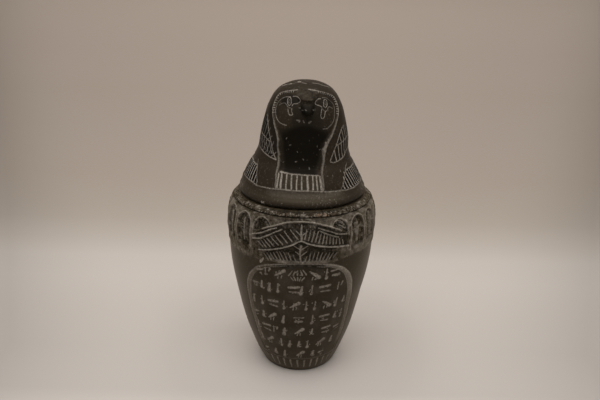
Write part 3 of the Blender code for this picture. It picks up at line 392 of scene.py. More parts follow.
class Turning:
    """A closed turned body: rows before the carved outside, the outside, and rows after it.

    form moves a place in or out from the axis; relief and line move it along its normal.
    The layers tell the material about each place: pale dust, which also paints highlights and
    sheen, pecked ground, tone (0 the darkest stone, which paints shade such as on the throat,
    0.5 the polished stone, 1 the grey ground of the belt, which also paints a highlight on the
    lid's band) and warm specks."""

    def __init__(self, before, outside, after, lean, seed):
        rows = np.vstack([before, outside, after]) if len(after) else np.vstack([before, outside])
        self.radius, self.height = rows.T
        along = np.gradient(rows, axis=0)
        along /= np.maximum(np.hypot(*along.T), 1e-9)[:, None]
        self.normal_out, self.normal_up = along[:, 1], -along[:, 0]
        self.carved = slice(len(before), len(before) + len(outside))
        self.lean = np.zeros(len(rows))
        self.lean[self.carved] = table(lean, self.height[self.carved])
        self.angle = columns()
        self.sin, self.cos = np.sin(self.angle * DEGREE), np.cos(self.angle * DEGREE)
        shape = (len(rows), len(self.angle))
        self.form, self.relief, self.line = np.zeros(shape), np.zeros(shape), np.zeros(shape)
        self.layers = {name: np.zeros(shape) for name in LAYERS}
        self.layers["tone"] += 0.5
        self.random = np.random.default_rng(seed)

    def places(self):
        return self.angle[None, :], self.height[self.carved, None]

    def radius_at(self, height):
        return np.interp(height, self.height[self.carved], self.radius[self.carved])

    def points(self):
        """x, y and z of the plain turned outside."""
        radius = self.radius[self.carved, None]
        height = np.broadcast_to(self.height[self.carved, None], self.form[self.carved].shape)
        return radius * self.sin, -radius * self.cos, height

    def layer(self, name):
        """A layer over the carved outside; what is done to it is done to the body."""
        return self.layers[name][self.carved]

    def blend(self, name, value, share):
        """Moves a layer of the carved outside towards a value by a share of the way."""
        layer = self.layer(name)
        layer += (value - layer) * share

    def stroke(self, path, width=LINE, rise=-CUT, pale=1.0, taper=(1.0, 1.0), wobble=WOBBLE, tone=None):
        """A rounded line along (angle, height) points: raised, or cut where rise is below 0.
        pale is how much pale dust it holds; taper gives its width at start and end."""
        angle, height = np.array(path, float).T
        radius = self.radius_at(height)
        steps = np.hypot(np.diff(angle) * radius[:-1] * DEGREE, np.diff(height))
        run = np.concatenate([[0], np.cumsum(steps)])
        count = max(1, int(round(run[-1] / STROKE_STEP))) + 1
        at = np.linspace(0, run[-1], count)
        angle, height = np.interp(at, run, angle), np.interp(at, run, height)
        unsteady = self.random.normal(0, 1, (2, count + 4))
        unsteady = np.stack([np.convolve(row, SMOOTHING, "valid") for row in unsteady]) * wobble
        angle = angle + unsteady[0] / (self.radius_at(height) * DEGREE)
        height = height + unsteady[1]
        reach = width / 2 * np.interp(at, (0, max(run[-1], 1e-6)), taper)
        reach *= 1 + WIDTH_SPREAD * self.random.uniform(-1, 1, count)
        for start in range(0, max(1, count - 1), RUN):
            part = slice(start, start + RUN + 1)
            strength = pale * self.random.uniform(0.82, 1.0)
            self.piece(angle[part], height[part], reach[part], rise, strength, tone)

    def piece(self, angle, height, reach, rise, pale, tone):
        """Draws a few steps of a stroke; reach is half its width at each point."""
        radius = self.radius_at(height)
        points = np.column_stack([radius * np.sin(angle * DEGREE), -radius * np.cos(angle * DEGREE), height])
        widest = reach.max()
        level = self.height[self.carved]
        rows = self.carved.start + between(level, height.min() - widest, height.max() + widest)
        if len(rows) == 0:
            return
        spread = widest / (max(self.radius[rows].min(), 1.0) * DEGREE)
        columns = between(self.angle, angle.min() - spread, angle.max() + spread)
        if len(columns) == 0:
            return
        x = self.radius[rows, None] * self.sin[columns]
        y = -self.radius[rows, None] * self.cos[columns]
        z = self.height[rows, None]
        nearest = np.full(x.shape, np.inf)
        for k in range(max(1, len(points) - 1)):
            start = points[k]
            step = points[min(k + 1, len(points) - 1)] - start
            t = (x - start[0]) * step[0] + (y - start[1]) * step[1] + (z - start[2]) * step[2]
            t = np.clip(t / max(step @ step, 1e-9), 0, 1)
            away = np.sqrt((x - start[0] - t * step[0])**2 + (y - start[1] - t * step[1])**2
                           + (z - start[2] - t * step[2])**2)
            wide = reach[k] + t * (reach[min(k + 1, len(points) - 1)] - reach[k])
            nearest = np.minimum(nearest, away / wide)
        depth = rise * (1 - ramp(nearest, 0.15, 1.0))
        block = np.ix_(rows, columns)
        self.line[block] = np.where(np.abs(depth) > np.abs(self.line[block]), depth, self.line[block])
        layer = self.layers["pale"]
        layer[block] = np.maximum(layer[block], pale * (1 - ramp(nearest, 0.45, 1.0)))
        if tone is not None:
            layer = self.layers["tone"]
            layer[block] += (tone - layer[block]) * (1 - ramp(nearest, 0.6, 1.0))

    def mesh(self, name):
        """One closed mesh with the layers as attributes."""
        rise = self.relief + self.line
        out = self.radius[:, None] + self.form + rise * self.normal_out[:, None]
        up = self.height[:, None] + rise * self.normal_up[:, None]
        rings = np.stack([out * self.sin + self.lean[:, None], -out * self.cos, up], axis=-1)[1:-1]
        poles = [[self.lean[0], 0, self.height[0]], [self.lean[-1], 0, self.height[-1]]]
        points = np.vstack([rings.reshape(-1, 3), poles]) * MM
        count, wide = len(rings), len(self.angle)
        here = np.arange(wide)
        after = (here + 1) % wide
        low = (np.arange(count - 1) * wide)[:, None]
        quads = np.stack([low + here, low + after, low + wide + after, low + wide + here], axis=-1)
        first, last, top = count * wide, count * wide + 1, (count - 1) * wide
        fans = np.vstack([np.column_stack([np.full(wide, first), after, here]),
                          np.column_stack([np.full(wide, last), top + here, top + after])])
        mesh = bpy.data.meshes.new(name)
        mesh.vertices.add(len(points))
        mesh.vertices.foreach_set("co", points.astype(np.float32).ravel())
        corners = np.concatenate([quads.ravel(), fans.ravel()])
        sizes = np.concatenate([np.full(quads.size // 4, 4), np.full(len(fans), 3)])
        mesh.loops.add(len(corners))
        mesh.loops.foreach_set("vertex_index", corners.astype(np.int32))
        mesh.polygons.add(len(sizes))
        starts = np.concatenate([[0], np.cumsum(sizes)[:-1]])
        mesh.polygons.foreach_set("loop_start", starts.astype(np.int32))
        mesh.update(calc_edges=True)
        for label, layer in self.layers.items():
            values = np.concatenate([layer[1:-1].ravel(), [layer[0, 0], layer[-1, 0]]])
            attribute = mesh.attributes.new(label, "FLOAT", "POINT")
            attribute.data.foreach_set("value", values.astype(np.float32))
        return mesh


def flecks(body, angles, heights, count, widest, pale):
    """Small pale chips strewn over a part of the outside."""
    for _ in range(count):
        angle, height = body.random.uniform(*angles), body.random.uniform(*heights)
        turn, size = body.random.uniform(0, math.pi), widest * body.random.uniform(0.5, 1.0)
        fleck(body, angle, height, size, turn, pale * body.random.uniform(0.5, 1.0))


def fleck(body, angle, height, size, turn, pale):
    across = 0.45 * size * math.cos(turn) / (body.radius_at(height) * DEGREE)
    up = 0.45 * size * math.sin(turn)
    ends = [(angle - across, height - up), (angle + across, height + up)]
    body.stroke(ends, 0.9 * size, -FAINT, pale, (1.0, 0.5))


# pale patches of dust, and of painted light in the niches
def dust_and_light(body, places):
    angle, height = body.places()
    for pale, across, upward in places:
        body.blend("pale", pale, window(angle, *across) * window(height, *upward))


# ------------------------------------------------------------------ the jar's carving
def wing_top(angle):
    return WING_TOP - WING_DROP * np.square(angle)


def carve_belt(body):
    """The raised belt, the groove over it and the pecked ring under the lid, with painted shade in
    the groove and a painted shadow of the lid over the ring's top.
    """
    angle, height = body.places()
    x, y, z = body.points()
    noise = Noise(11)
    ragged = (0.8 * noise(x, y, z, 7.0) + 0.5 * noise(x, y, z, 2.5)) * (1 - ramp(height, 118, 124))
    belt = window(height + ragged, table(BAND_FOOT, angle), BAND[1], SOFT)
    body.relief[body.carved] += BAND_RISE * belt
    body.blend("tone", 0.5, belt)
    body.blend("tone", 0.92, belt * np.maximum(ramp(angle, 6, 17), 0.7 * ramp(-angle, 8, 30)))
    body.blend("rough", 0.75, belt)
    rim = belt * (1 - ramp(height + ragged, 116.5, 118.5))
    body.blend("pale", 0.12, rim * window(angle, -66, -38, 6))
    # paler lower belt on the right: partly paler grey stone, partly a painted reflection
    low = belt * (1 - ramp(height, 121.5, 125.5))
    body.blend("pale", 0.28, low * window(angle, 43, 72, 6))
    body.blend("pale", 0.08, low * window(angle, 32, 43, 6))
    body.blend("tone", 0.4, ramp(height, BAND[1] - 1.2, BAND[1] - 0.4) * belt)
    body.blend("tone", 0.2, window(angle, -16, 13, 5) * window(height, 147.2, 150.0, 0.8) * belt)
    ring = ramp(height, RING_GROOVE, RING_GROOVE + 0.5) + 0 * angle
    body.blend("rough", 1.0, ring)
    body.blend("tone", 0.5, ring)
    # painted shadow of the lid's edge: the top of the ring in front is darkened and less pecked
    painted_lid_shadow = window(angle, -32, 32, 10) * ramp(height, 151.3, 152.1)
    body.blend("rough", 0.2, painted_lid_shadow)
    body.blend("tone", 0.05, painted_lid_shadow)
    specks = np.maximum(window(angle, 8, 24, 8), 0.45 * window(angle, -20, -6, 6))
    body.blend("warm", 1.0, ring * (1 - painted_lid_shadow) * specks)
    # painted shade: the groove is darkened as well as cut
    body.stroke(circle(RING_GROOVE, 181), 1.6, -0.9, 0.0, wobble=0.05, tone=0.1)


def carve_arches(body):
    """Round-topped niches with pecked floors, beside and over the wings."""
    angle, height = body.places()
    turn = np.linspace(-90, 90, 15) * DEGREE
    for centre, half, tone, pale, _ in ARCHES:
        beside = abs(centre) > BESIDE_WING
        tall = half * DEGREE * JAR_WIDEST
        spring = ARCH_HEAD - tall
        across = np.abs(angle - centre) * DEGREE * JAR_WIDEST
        away = np.where(height > spring, np.hypot(across, height - spring), across)
        floor = ARCH_FOOT if beside else wing_top(angle)
        niche = (1 - ramp(away, tall - SOFT, tall)) * ramp(height, floor, floor + SOFT)
        body.relief[body.carved] -= NICHE * niche
        body.blend("rough", 0.7 if centre < BESIDE_WING else 1.0, niche)
        body.blend("tone", tone, niche)
        if beside:
            half += RIM_OUT
        feet = [ARCH_FOOT if beside else wing_top(centre + way * half) for way in (-1, 1)]
        rim = [(centre - half, feet[0])]
        rim += [(centre + half * math.sin(t), spring + tall * math.cos(t)) for t in turn]
        rim += [(centre + half, feet[1])]
        rim = [(a, z) for a, z in rim if z >= feet[0 if a < centre else 1]]
        body.stroke(rim, 1.6 if beside else 1.2, 0.25, pale, wobble=0.25)


def carve_reeds(body):
    """What stands in the niches beside the wings: feathered reeds and smooth buds."""
    angle, height = body.places()
    dust_and_light(body, NICHE_DUST_AND_LIGHT)
    dark = window(angle, -44.6, -41, 1.5) * window(height, 128, 143, 4)
    body.blend("tone", 0.0, dark)
    body.blend("rough", 0.3, dark)
    for curl in CURLS:
        body.stroke(smooth_curve(curl), 1.3, 0.5, 0.8)
    for centre, *_, bud in ARCHES:
        if bud:
            foot, waist, head = ((centre - 0.4, level) for level in (ARCH_FOOT + 3, BUD_WAIST, ARCH_HEAD - 3))
            body.stroke([foot, waist], BUD_WIDTH, 1.0, bud, (0.4, 1.1), tone=1.0)
            body.stroke([waist, head], BUD_WIDTH, 1.0, bud, (1.1, 0.35), tone=1.0)
        elif centre < -BESIDE_WING:
            stem = [(centre + 0.2, ARCH_FOOT + 3), (centre + 0.8, 134.0), (centre - 0.4, ARCH_HEAD - 5)]
            body.stroke(smooth_curve(stem), 1.9, 0.9, 0.7, (0.5, 1.1))
            for root in np.arange(132.5, ARCH_HEAD - 6, 1.9):
                body.stroke([(centre, root), (centre - 3.6, root + 0.7)], 0.9, 0.4, 0.5, (1.1, 0.5))


def carve_wings(body):
    """Two rows of feathers under ridges, spread over the front of the belt."""
    angle, height = body.places()
    under = (1 - ramp(height, wing_top(angle) - 1.0, wing_top(angle) + 0.4)) * window(angle, *WING_SIDES, 3)
    low = 1 - ramp(height, table(WING_EDGE, angle) - 1, table(WING_EDGE, angle))
    under = under * (1 - low * (1 - window(angle, *LOWER_WING, 9)))
    under = under * ramp(height, BAND[0] + 1, BAND[0] + 3)
    body.blend("tone", 0.16, under)
    body.blend("rough", 0.35, under)
    dust_and_light(body, BELT_DUST)
    body.relief[body.carved] -= 0.35 * under
    span = np.linspace(*WING_SPAN, 25)
    body.stroke(np.column_stack([span, wing_top(span)]), 1.6, 1.0, 0.66)
    for fold in WING_FOLDS:
        body.stroke(smooth_curve(fold), 1.4, 0.85, 0.7 if fold[0][0] < 0 else 0.5)
    body.stroke(smooth_curve(WING_EDGE), 2.1, 1.1, 0.78, (0.6, 0.8))
    for foot_angle, foot, head_angle, head in FEATHERS:
        pale = 0.72 if foot > 120 else 0.6
        body.stroke([(foot_angle, foot), (head_angle, head)], 1.35, 0.35, pale, (1.1, 0.6))
    for stem in STEMS:
        body.stroke(stem, 1.9, 0.4, 0.8, (1.2, 0.7))
    for middle, foot, out in STEM_TICKS:
        for way in (-1, 1):
            body.stroke([(middle, foot), (middle + way * out, foot + 3.6)], 1.2, 0.3, 0.75, (1, 0.6))
    body.stroke([(38, 131), (38.4, 142)], 1.0, 0.2, 0.45)
    for at, head in BETWEEN:
        body.stroke([(at, ARCH_FOOT - 1), (at, head)], 2.6, 0.3, 0.28, (0.6, 1.1), wobble=0.4)
    flecks(body, (22, 35), (139.5, 146.0), 22, 1.5, 0.75)
    flecks(body, (-70, 70), (115.5, 148.0), 260, 1.3, 0.45)
    flecks(body, (-70, 70), (150.0, 152.4), 120, 1.1, 0.75)


def within(body, sides):
    """How far inside a pair of side lines each place lies, in degrees, and -1 over their crown."""
    angle, height = body.places()
    left, right = sides
    inside = np.minimum(angle - table(left, height), table(right, height) - angle)
    return np.where(height < left[-1][0], inside, -1.0)


def carve_cartouche(body):
    """A grey strip between two cut lines, round-topped, framing the writing."""
    angle, height = body.places()
    outer = within(body, FRAME_OUTER)
    inner = ramp(within(body, FRAME_INNER), -0.4, 0.4)
    strip = np.clip(ramp(outer, -0.4, 0.4) - inner, 0, 1)
    strip = strip * ramp(height, FRAME_FOOT, FRAME_FOOT + 12)
    right, upper = window(angle, 18, 60, 8), window(height, 80, 116, 8)
    body.blend("tone", 1.0, strip * ramp(np.abs(angle), 16, 34))
    body.blend("rough", 0.3, strip)
    body.blend("pale", 0.2, strip * ramp(np.abs(angle), 30, 42))
    body.blend("pale", 0.4, strip * right * upper)
    haze = Noise(17)(*body.points(), 7.0)
    body.blend("pale", 0.07, inner * (height > BASE_LINE) * ramp(haze, -0.2, 0.8))
    up, down = ([(a, z) for z, a in side] for side in FRAME_OUTER)
    body.stroke(smooth_curve(up + down[-2::-1]), 1.7, -0.5, 0.85)
    middle = window(angle, -20, 20, 6)
    body.blend("pale", 0.34, middle * window(height, 114.2, 116.8, 1.0))
    for side in FRAME_INNER:
        body.stroke(smooth_curve([(a, z) for z, a in side[:-1]]), 1.2, -0.5, 0.8, (1.0, 0.5))
    pale = body.layer("pale")
    pale *= 1 - 0.3 * window(angle, -44, -26, 6) * window(height, 99, 112, 4)
    bright = right * upper * (strip + ramp(outer, -3, -1))
    pale *= 1 + 0.35 * np.clip(bright, 0, 1) * (outer < 2)
    fade = ramp(height, FRAME_FOOT, FRAME_FOOT + 22)
    pale *= np.where((height > BASE_LINE + 2) & (np.abs(angle) > 38), fade, 1)
    body.blend("tone", 0.33, inner * ramp(height, BASE_LINE, BASE_LINE + 3))
    body.blend("tone", 0.1, middle * window(height, 110.5, 113.4, 0.8))


def carve_writing(body):
    """Rows of plain strokes in place of an inscription."""
    def mark(angle, height, out, up, width, taper=(1.0, 1.0)):
        width = width * body.random.uniform(1.05, 1.4)
        body.stroke([(angle - out, height - up), (angle + out, height + up)], width, -0.5, 0.9, taper)

    for middle, marks in WRITING:
        for angle, kind in marks:
            for _ in range(3):
                aside, up = body.random.uniform(-2.6, 2.6), body.random.uniform(-3.6, 3.6)
                tilt, rise = body.random.uniform(-0.4, 0.4), body.random.uniform(-0.4, 0.4)
                mark(angle + aside, middle + up, tilt, rise, 0.9)
            for across, above, *stroke in MARKS[kind]:
                mark(angle + across, middle + above, *stroke)


def carve_foot(body):
    """A line round the foot with upright strokes under it."""
    body.stroke(circle(BASE_LINE, 121), 1.2, -0.5, 0.4, wobble=0.08)
    for k in range(-10, 11):
        angle = FOOT_PITCH * k - 1
        body.stroke([(angle, end) for end in FOOT_STROKES], 1.9, -0.5, 0.8, (0.7, 1.1))


def lighten_sides_and_foot(body):
    """The sides are painted a little paler as sheen, and the foot as light from the floor."""
    angle, height = body.places()
    plain = body.layer("pale") < 0.08
    body.blend("pale", 0.035, ramp(np.abs(angle), 50, 72) * (height < BAND[0]) * plain)
    body.blend("pale", 0.07, (1 - ramp(height, 2, 12)) * plain)


def weather(body, seed):
    """Hand-made unevenness: long soft waves, and pitting where the stone is only pecked, with
    paler worn bumps and painted shade in the pits.
    """
    x, y, z = body.points()
    noise = Noise(seed)
    body.relief[body.carved] += 0.10 * noise(x, y, z, 14.0)
    pecked = body.layer("rough")
    lumps = 0.6 * noise(x, y, z, 3.2) + 0.75 * noise(x, y, z, 1.5)
    body.relief[body.carved] += pecked * 0.32 * lumps
    body.layer("pale")[:] += 0.8 * pecked * np.clip(lumps - 0.14, 0, 1)
    # painted shade in the pits of the pecked ground
    body.layer("tone")[:] -= 1.7 * pecked * np.clip(-lumps - 0.12, 0, 1)


def build_jar():
    outside = smooth_curve(JAR_OUTLINE, CARVED_STEP)
    under = even([(0, 0), (FOOT_RADIUS - EDGE, 0)], PLAIN_STEP)
    edge = [(FOOT_RADIUS - 0.3 * EDGE, 0.3 * EDGE)]
    rim = [(RIM_RADIUS - EDGE, JAR_HEIGHT), (MOUTH_RADIUS + EDGE, JAR_HEIGHT),
           (MOUTH_RADIUS, JAR_HEIGHT - EDGE)]
    inside = smooth_curve(JAR_INSIDE, PLAIN_STEP)
    body = Turning(np.vstack([under, edge]), outside, np.vstack([rim, inside]), JAR_LEAN, 21)
    carve_belt(body)
    carve_wings(body)
    carve_arches(body)
    carve_reeds(body)
    carve_cartouche(body)
    carve_writing(body)
    carve_foot(body)
    lighten_sides_and_foot(body)
    body.stroke(CHIP, 2.8, -0.5, 1.5, (0.7, 1.0))
    weather(body, 3)
    return body.mesh("carved_jar")


# ------------------------------------------------------------------ the lid's carving
def shape_head(body):
    """The face, throat and collar set back inside the wig, the shoulders set back beside it, with
    painted shade on the throat, a painted highlight on the lower band and painted sheen at its sides.
    """
    angle, height = body.places()
    inside = np.minimum(angle - table(WIG_LEFT, height), table(WIG_RIGHT, height) - angle)
    opening = ramp(inside, 0.0, WIG_STEP)
    body.form[body.carved] -= table(OPENING_DEPTH, height) * opening
    body.blend("tone", 0.28, (1 - ramp(inside, 6, 12)) * ramp(inside, 0, 2) * window(height, 219, 235, 4))
    # painted shade: the throat under the overhanging chin and face is darkened to the darkest tone
    chin = THROAT_TOP - THROAT_SLOPE * np.abs(angle)
    throat = ramp(inside, -0.5, 9.0) * ramp(height - table(COLLAR_TOP, angle), 0.2, 0.8)
    throat = throat * (1 - ramp(height, chin - 5, chin + 5))
    body.blend("tone", 0.44, window(height, COLLAR_LINE[0][1], 232.0, 2.0))
    aside = window(angle - table(WIG_LEFT, height), -11, -1, 2) * window(height, 188, 222, 4)
    body.blend("tone", 0.22, aside)
    body.blend("tone", 0.62, opening * window(height, 166.5, table(COLLAR_TOP, angle), 0.8))
    body.blend("tone", 0.0, throat)
    # painted highlight on the lid's lower band: greyer all round, grey over the front and paler near its top
    band = 1 - ramp(height, COLLAR_LINE[0][1] - 2, COLLAR_LINE[0][1])
    body.blend("tone", 0.64, band * ramp(height, 155, 158))
    body.blend("tone", 1.0, band * ramp(height, 156, 160) * window(angle, -24, 36, 26))
    upper = window(height, 161.5, table(COLLAR_LINE, angle) + 0.5, 1.5)
    body.blend("pale", 0.12, upper * window(angle, -32, 38, 10))
    # painted sheen: the lower band is paler, greyer and rougher at its far sides
    painted_side_sheen = ramp(np.abs(angle), 66, 74) * (1 - ramp(height, 161.0, 166.0))
    body.blend("rough", 0.7, painted_side_sheen)
    body.blend("tone", 1.0, painted_side_sheen)
    body.blend("pale", 0.1, painted_side_sheen)
    for side, edge in LAPPET_OUT.items():
        beside = ramp(side * angle - table(edge, height), 0.0, 2.5)
        low, high = COLLAR_LINE[0][1], edge[-1][0]
        body.form[body.carved] -= SHOULDER_DROP * beside * window(height, low, high, SOFT)


def shape_beak(body):
    """The brow runs out into a ridge over a short hooked beak; the beak and the face under the
    brow are painted darker as shade.
    """
    angle, height = body.places()
    reach, half = (table(smooth_curve([(row[0], row[k]) for row in BEAK], 0.2), height) for k in (1, 2))
    half = np.maximum(half, 1.0)
    across = np.abs(angle - FACE_TURN) * DEGREE * body.radius[body.carved, None]
    span = (height > BEAK[0][0]) & (height < BEAK[-1][0])
    ridge = 1 - ramp(across, BEAK_FLAT * half, BEAK_SPREAD * half)
    body.form[body.carved] += span * reach * ridge
    brow = window(height, 229.8, 236.0, 1.5) * (1 - ramp(across, 0.9 * half, 1.5 * half))
    body.blend("tone", 0.34, brow)
    body.blend("rough", 0.25, brow)
    beak = window(height, 216.5, 227.6, 1.0) * (1 - ramp(across, 1.0 * half, 1.7 * half))
    # painted shade: the face under the brow and the beak are darkened, the beak most at its middle
    body.blend("tone", 0.2, window(height, 212.0, 224.5, 3.0) * (1 - ramp(across, 9.0, 14.0)))
    body.blend("tone", 0.22 * ramp(np.abs(height - 222.8), 2.0, 4.4), beak)
    crown = ramp(height, 233.0, 236.5) * (1 - brow)
    body.blend("tone", 0.34, crown)


def carve_eyes(body):
    """A ringed pupil in an almond, a long crescent round the cheek and a tear mark."""
    def draw(side, points, width, pale):
        centre, middle = EYES[side]
        line = [(centre + side * out, middle + up) for out, up in points]
        body.stroke(line, width, -SHALLOW, pale, wobble=0.03)

    turn = np.linspace(0, 360, 25) * DEGREE
    angle, height = body.places()
    for side, (centre, middle) in EYES.items():
        away = np.hypot((angle - centre) / 19, (height - middle - 0.5) / 4.4)
        body.blend("tone", 0.1 if side < 0 else 0.25, 1 - ramp(away, 0.75, 1.1))
        for share, width, pale in ((1.0, 0.7, 1.1), (0.45, 0.5, 0.7)):
            ring = share * np.column_stack([PUPIL[0] * np.sin(turn), PUPIL[1] * np.cos(turn)])
            ring[:, 0] += PUPIL_SHEAR * ring[:, 1]
            draw(side, ring + PUPIL_PLACE[side], width, pale)
        looks = ((0.8, 1.1), (0.9, 0.85 if side < 0 else 0.55), (0.7, 0.7), (0.8, 0.95))
        for line, (width, pale) in zip(EYE_LINES[side], looks):
            draw(side, smooth_curve(line), width, pale)


def carve_wig(body):
    """The wig's raised edge, its ticked hairline, the netted panels and plain locks behind."""
    for side, edge in ((-1, WIG_LEFT), (1, WIG_RIGHT)):
        line = smooth_curve([(angle, height) for height, angle in edge])
        body.stroke(line[line[:, 1] < 214], 2.0, WIG_RISE, 0.5 if side < 0 else 0.4, (1.1, 0.8))
        high = line[line[:, 1] >= HAIRLINE]
        body.stroke(high, WIG_EDGE, WIG_RISE, 0.1)
        body.stroke(high, 0.8, WIG_RISE, 0.8, (1.1, 1.1))
        across = (body.radius_at(high[:, 1]) * DEGREE).mean()
        roots = even(np.column_stack([high[:, 0] * across, high[:, 1]]), TICK_PITCH)
        along = np.gradient(roots, axis=0)
        along /= np.hypot(*along.T)[:, None]
        inward = np.column_stack([along[:, 1], -along[:, 0]]) * -side
        for root, way in zip(roots, inward):
            if abs(root[0] / across) > TICKS_ASIDE and root[1] > TICKS_FROM:
                tip = root + TICK_LENGTH * way
                ends = [(root[0] / across, root[1]), (tip[0] / across, tip[1])]
                body.stroke(ends, 0.8, WIG_RISE, 1.1, (1.2, 0.8), wobble=0.04)
    for path, width, *look in WIG_LINES:
        body.stroke(path, width, WIG_RISE, *look)
    for path, width, pale in CROWN_SCRATCHES:
        body.stroke(path, width, -FAINT, pale, wobble=0.2)
    angle, height = body.places()
    for side, (inner, middle, foot) in NETS.items():
        out = side * angle
        panel = over(height, table(foot, out)) * ramp(out, foot[0][0], foot[0][0] + 2)
        panel = panel * (out < NET_OUTER)
        body.blend("tone", 0.04 if side < 0 else 0.26, panel * (1 - over(height, table(inner, out))))
        for line in (inner, middle, foot):
            body.stroke(mirrored(smooth_curve(line), side), 1.1, -SHALLOW, 0.85)
        body.stroke([(side * NET_OUTER, foot[-1][1]), (side * NET_OUTER, NET_HEAD)], FINE, -SHALLOW)
        for first, low, high in ((LOWER_NET, foot, middle), (UPPER_NET, middle, inner)):
            for at in np.arange(first, NET_OUTER - NET_PITCH / 2, NET_PITCH):
                down, up = table(low, at) + NET_GAP, table(high, at) - NET_GAP
                if low is foot and at < high[0][0]:
                    up = table(inner, at) - NET_GAP
                if up - down < 2:
                    continue
                if side < 0:
                    body.stroke(mirrored([(at, down), (at - 5.6, up)], side), FINE, -SHALLOW, 0.8)
                    if low is foot:
                        body.stroke(mirrored([(at - 4, down + 1), (at + 2.5, up)], side), FINE, -SHALLOW, 0.7)
                else:
                    body.stroke([(at + 2.6, down), (at, up)], FINE, -SHALLOW, 1.5)
    for k in range(-5, 6):
        angle = 180 - LOCK_PITCH * k if k > 0 else -180 - LOCK_PITCH * k
        if k:
            body.stroke([(angle, end) for end in LOCKS], WIDE, -SHALLOW, 0.3)


def carve_collar(body):
    """A collar of upright strokes between two lines, open where the lappets cross it."""
    line = [(a, table(COLLAR_LINE, a)) for a in np.linspace(-180, 180, 181)]
    body.stroke(line, 1.1, -SHALLOW, 0.95, wobble=0.1)
    top = np.linspace(-23.5, 18, 12)
    body.stroke(np.column_stack([top, table(COLLAR_TOP, top)]), 1.1, -SHALLOW, 0.95)
    for at, width in COLLAR_STROKES:
        foot = at * (0.93 if at < 0 else 1.0)
        ends = [(foot, table(COLLAR_LINE, foot) + 0.8), (at, table(COLLAR_TOP, at) - 0.6)]
        body.stroke(ends, width, -SHALLOW, 1.1, (1.1, 0.9))
    angle, height = body.places()
    for side, edge in LAPPET_OUT.items():
        out = [row[::-1] for row in edge]
        beside = ramp(side * angle - table(edge, height), 0.0, 2.0) * (side * angle < COLLAR_OUTER)
        panel = window(height, table(COLLAR_LINE, angle), table(SIDE_TOP, angle), 1.0)
        body.blend("tone", 0.0, beside * panel)
        body.stroke(mirrored(smooth_curve(out[1:]), side), 1.2, -SHALLOW, 0.6)
        first = table(edge, 178) + 0.5
        upper = np.linspace(first, COLLAR_OUTER + 2, 24) * side
        body.stroke(np.column_stack([upper, table(SIDE_TOP, upper)]), 1.2, -SHALLOW, 0.9)
        for at in np.arange(out[1][0] + 1.5, COLLAR_OUTER, COLLAR_PITCH[side]):
            foot = table(COLLAR_LINE, side * at) + 0.8
            head = min(table(out, at) - 0.6, table(SIDE_TOP, side * at) - 0.6)
            if head - foot > 1:
                lean = COLLAR_LEAN[side] * (head - foot) / LEAN_HEIGHT
                body.stroke(mirrored([(at, foot), (at + lean, head)], side), 1.25, -SHALLOW, 1.5)


def build_lid():
    outside = smooth_curve(LID_OUTLINE, CARVED_STEP)
    seat = JAR_HEIGHT + REST_GAP
    plug = MOUTH_RADIUS - PLUG_CLEARANCE
    under = np.vstack([even([(0, PLUG_FOOT), (plug - EDGE, PLUG_FOOT)], PLAIN_STEP),
                       even([(plug, PLUG_FOOT + EDGE), (plug, seat - 0.6)], PLAIN_STEP),
                       even([(plug, seat), (LID_OUTLINE[0][0] - EDGE, seat)], PLAIN_STEP)])
    body = Turning(under, outside, [], LID_LEAN, 22)
    shape_head(body)
    shape_beak(body)
    carve_eyes(body)
    carve_wig(body)
    carve_collar(body)
    for angle, height, width in LID_FLECKS:
        fleck(body, angle, height, width, body.random.uniform(0, math.pi), 0.42)
    fleck(body, *BRIGHT_FLECK, 0.3, 1.4)
    flecks(body, (6, 32), (156.5, 164.0), 26, 0.9, 0.7)
    flecks(body, (-70, 70), (155.0, 165.0), 40, 0.9, 0.4)
    flecks(body, (-24, 20), (180.0, 206.0), 16, 1.0, 0.2)
    weather(body, 5)
    return body.mesh("carved_lid")


# ------------------------------------------------------------------ materials
# colours are linear red, green and blue
RANGE = ("From Min", "From Max", "To Min", "To Max")


class Nodes:
    """Small helper that adds and links shader nodes."""

    def __init__(self, name):
        self.material = bpy.data.materials.new(name)
        self.material.use_nodes = True
        self.tree = self.material.node_tree
        self.shader = self.tree.nodes["Principled BSDF"]
        self.place = self.add("ShaderNodeTexCoord").outputs["Object"]

    def add(self, kind, **settings):
        node = self.tree.nodes.new(kind)
        for key, value in settings.items():
            setattr(node, key, value)
        return node

    def join(self, source, socket):
        if hasattr(source, "is_output"):
            self.tree.links.new(source, socket)
        else:
            socket.default_value = source

    def noise(self, size, detail=2.0, rough=0.5):
        """Noise whose features are about size mm."""
        node = self.add("ShaderNodeTexNoise")
        self.join(self.place, node.inputs["Vector"])
        node.inputs["Scale"].default_value = 1 / (size * MM)
        node.inputs["Detail"].default_value = detail
        node.inputs["Roughness"].default_value = rough
        return node.outputs["Fac"]

    def span(self, value, low, high, to_low=0.0, to_high=1.0):
        node = self.add("ShaderNodeMapRange")
        self.join(value, node.inputs["Value"])
        for name, number in zip(RANGE, (low, high, to_low, to_high)):
            node.inputs[name].default_value = number
        return node.outputs["Result"]

    def math(self, how, a, b, clamp=True):
        node = self.add("ShaderNodeMath", operation=how)
        node.use_clamp = clamp and how in ("MULTIPLY", "ADD")
        self.join(a, node.inputs[0])
        self.join(b, node.inputs[1])
        return node.outputs[0]

    def mix(self, factor, a, b):
        node = self.add("ShaderNodeMix", data_type="RGBA")
        self.join(factor, node.inputs["Factor"])
        for source, socket in ((a, node.inputs[6]), (b, node.inputs[7])):
            self.join((*source, 1.0) if isinstance(source, tuple) else source, socket)
        return node.outputs[2]

    def layer(self, name):
        return self.add("ShaderNodeAttribute", attribute_name=name).outputs["Fac"]


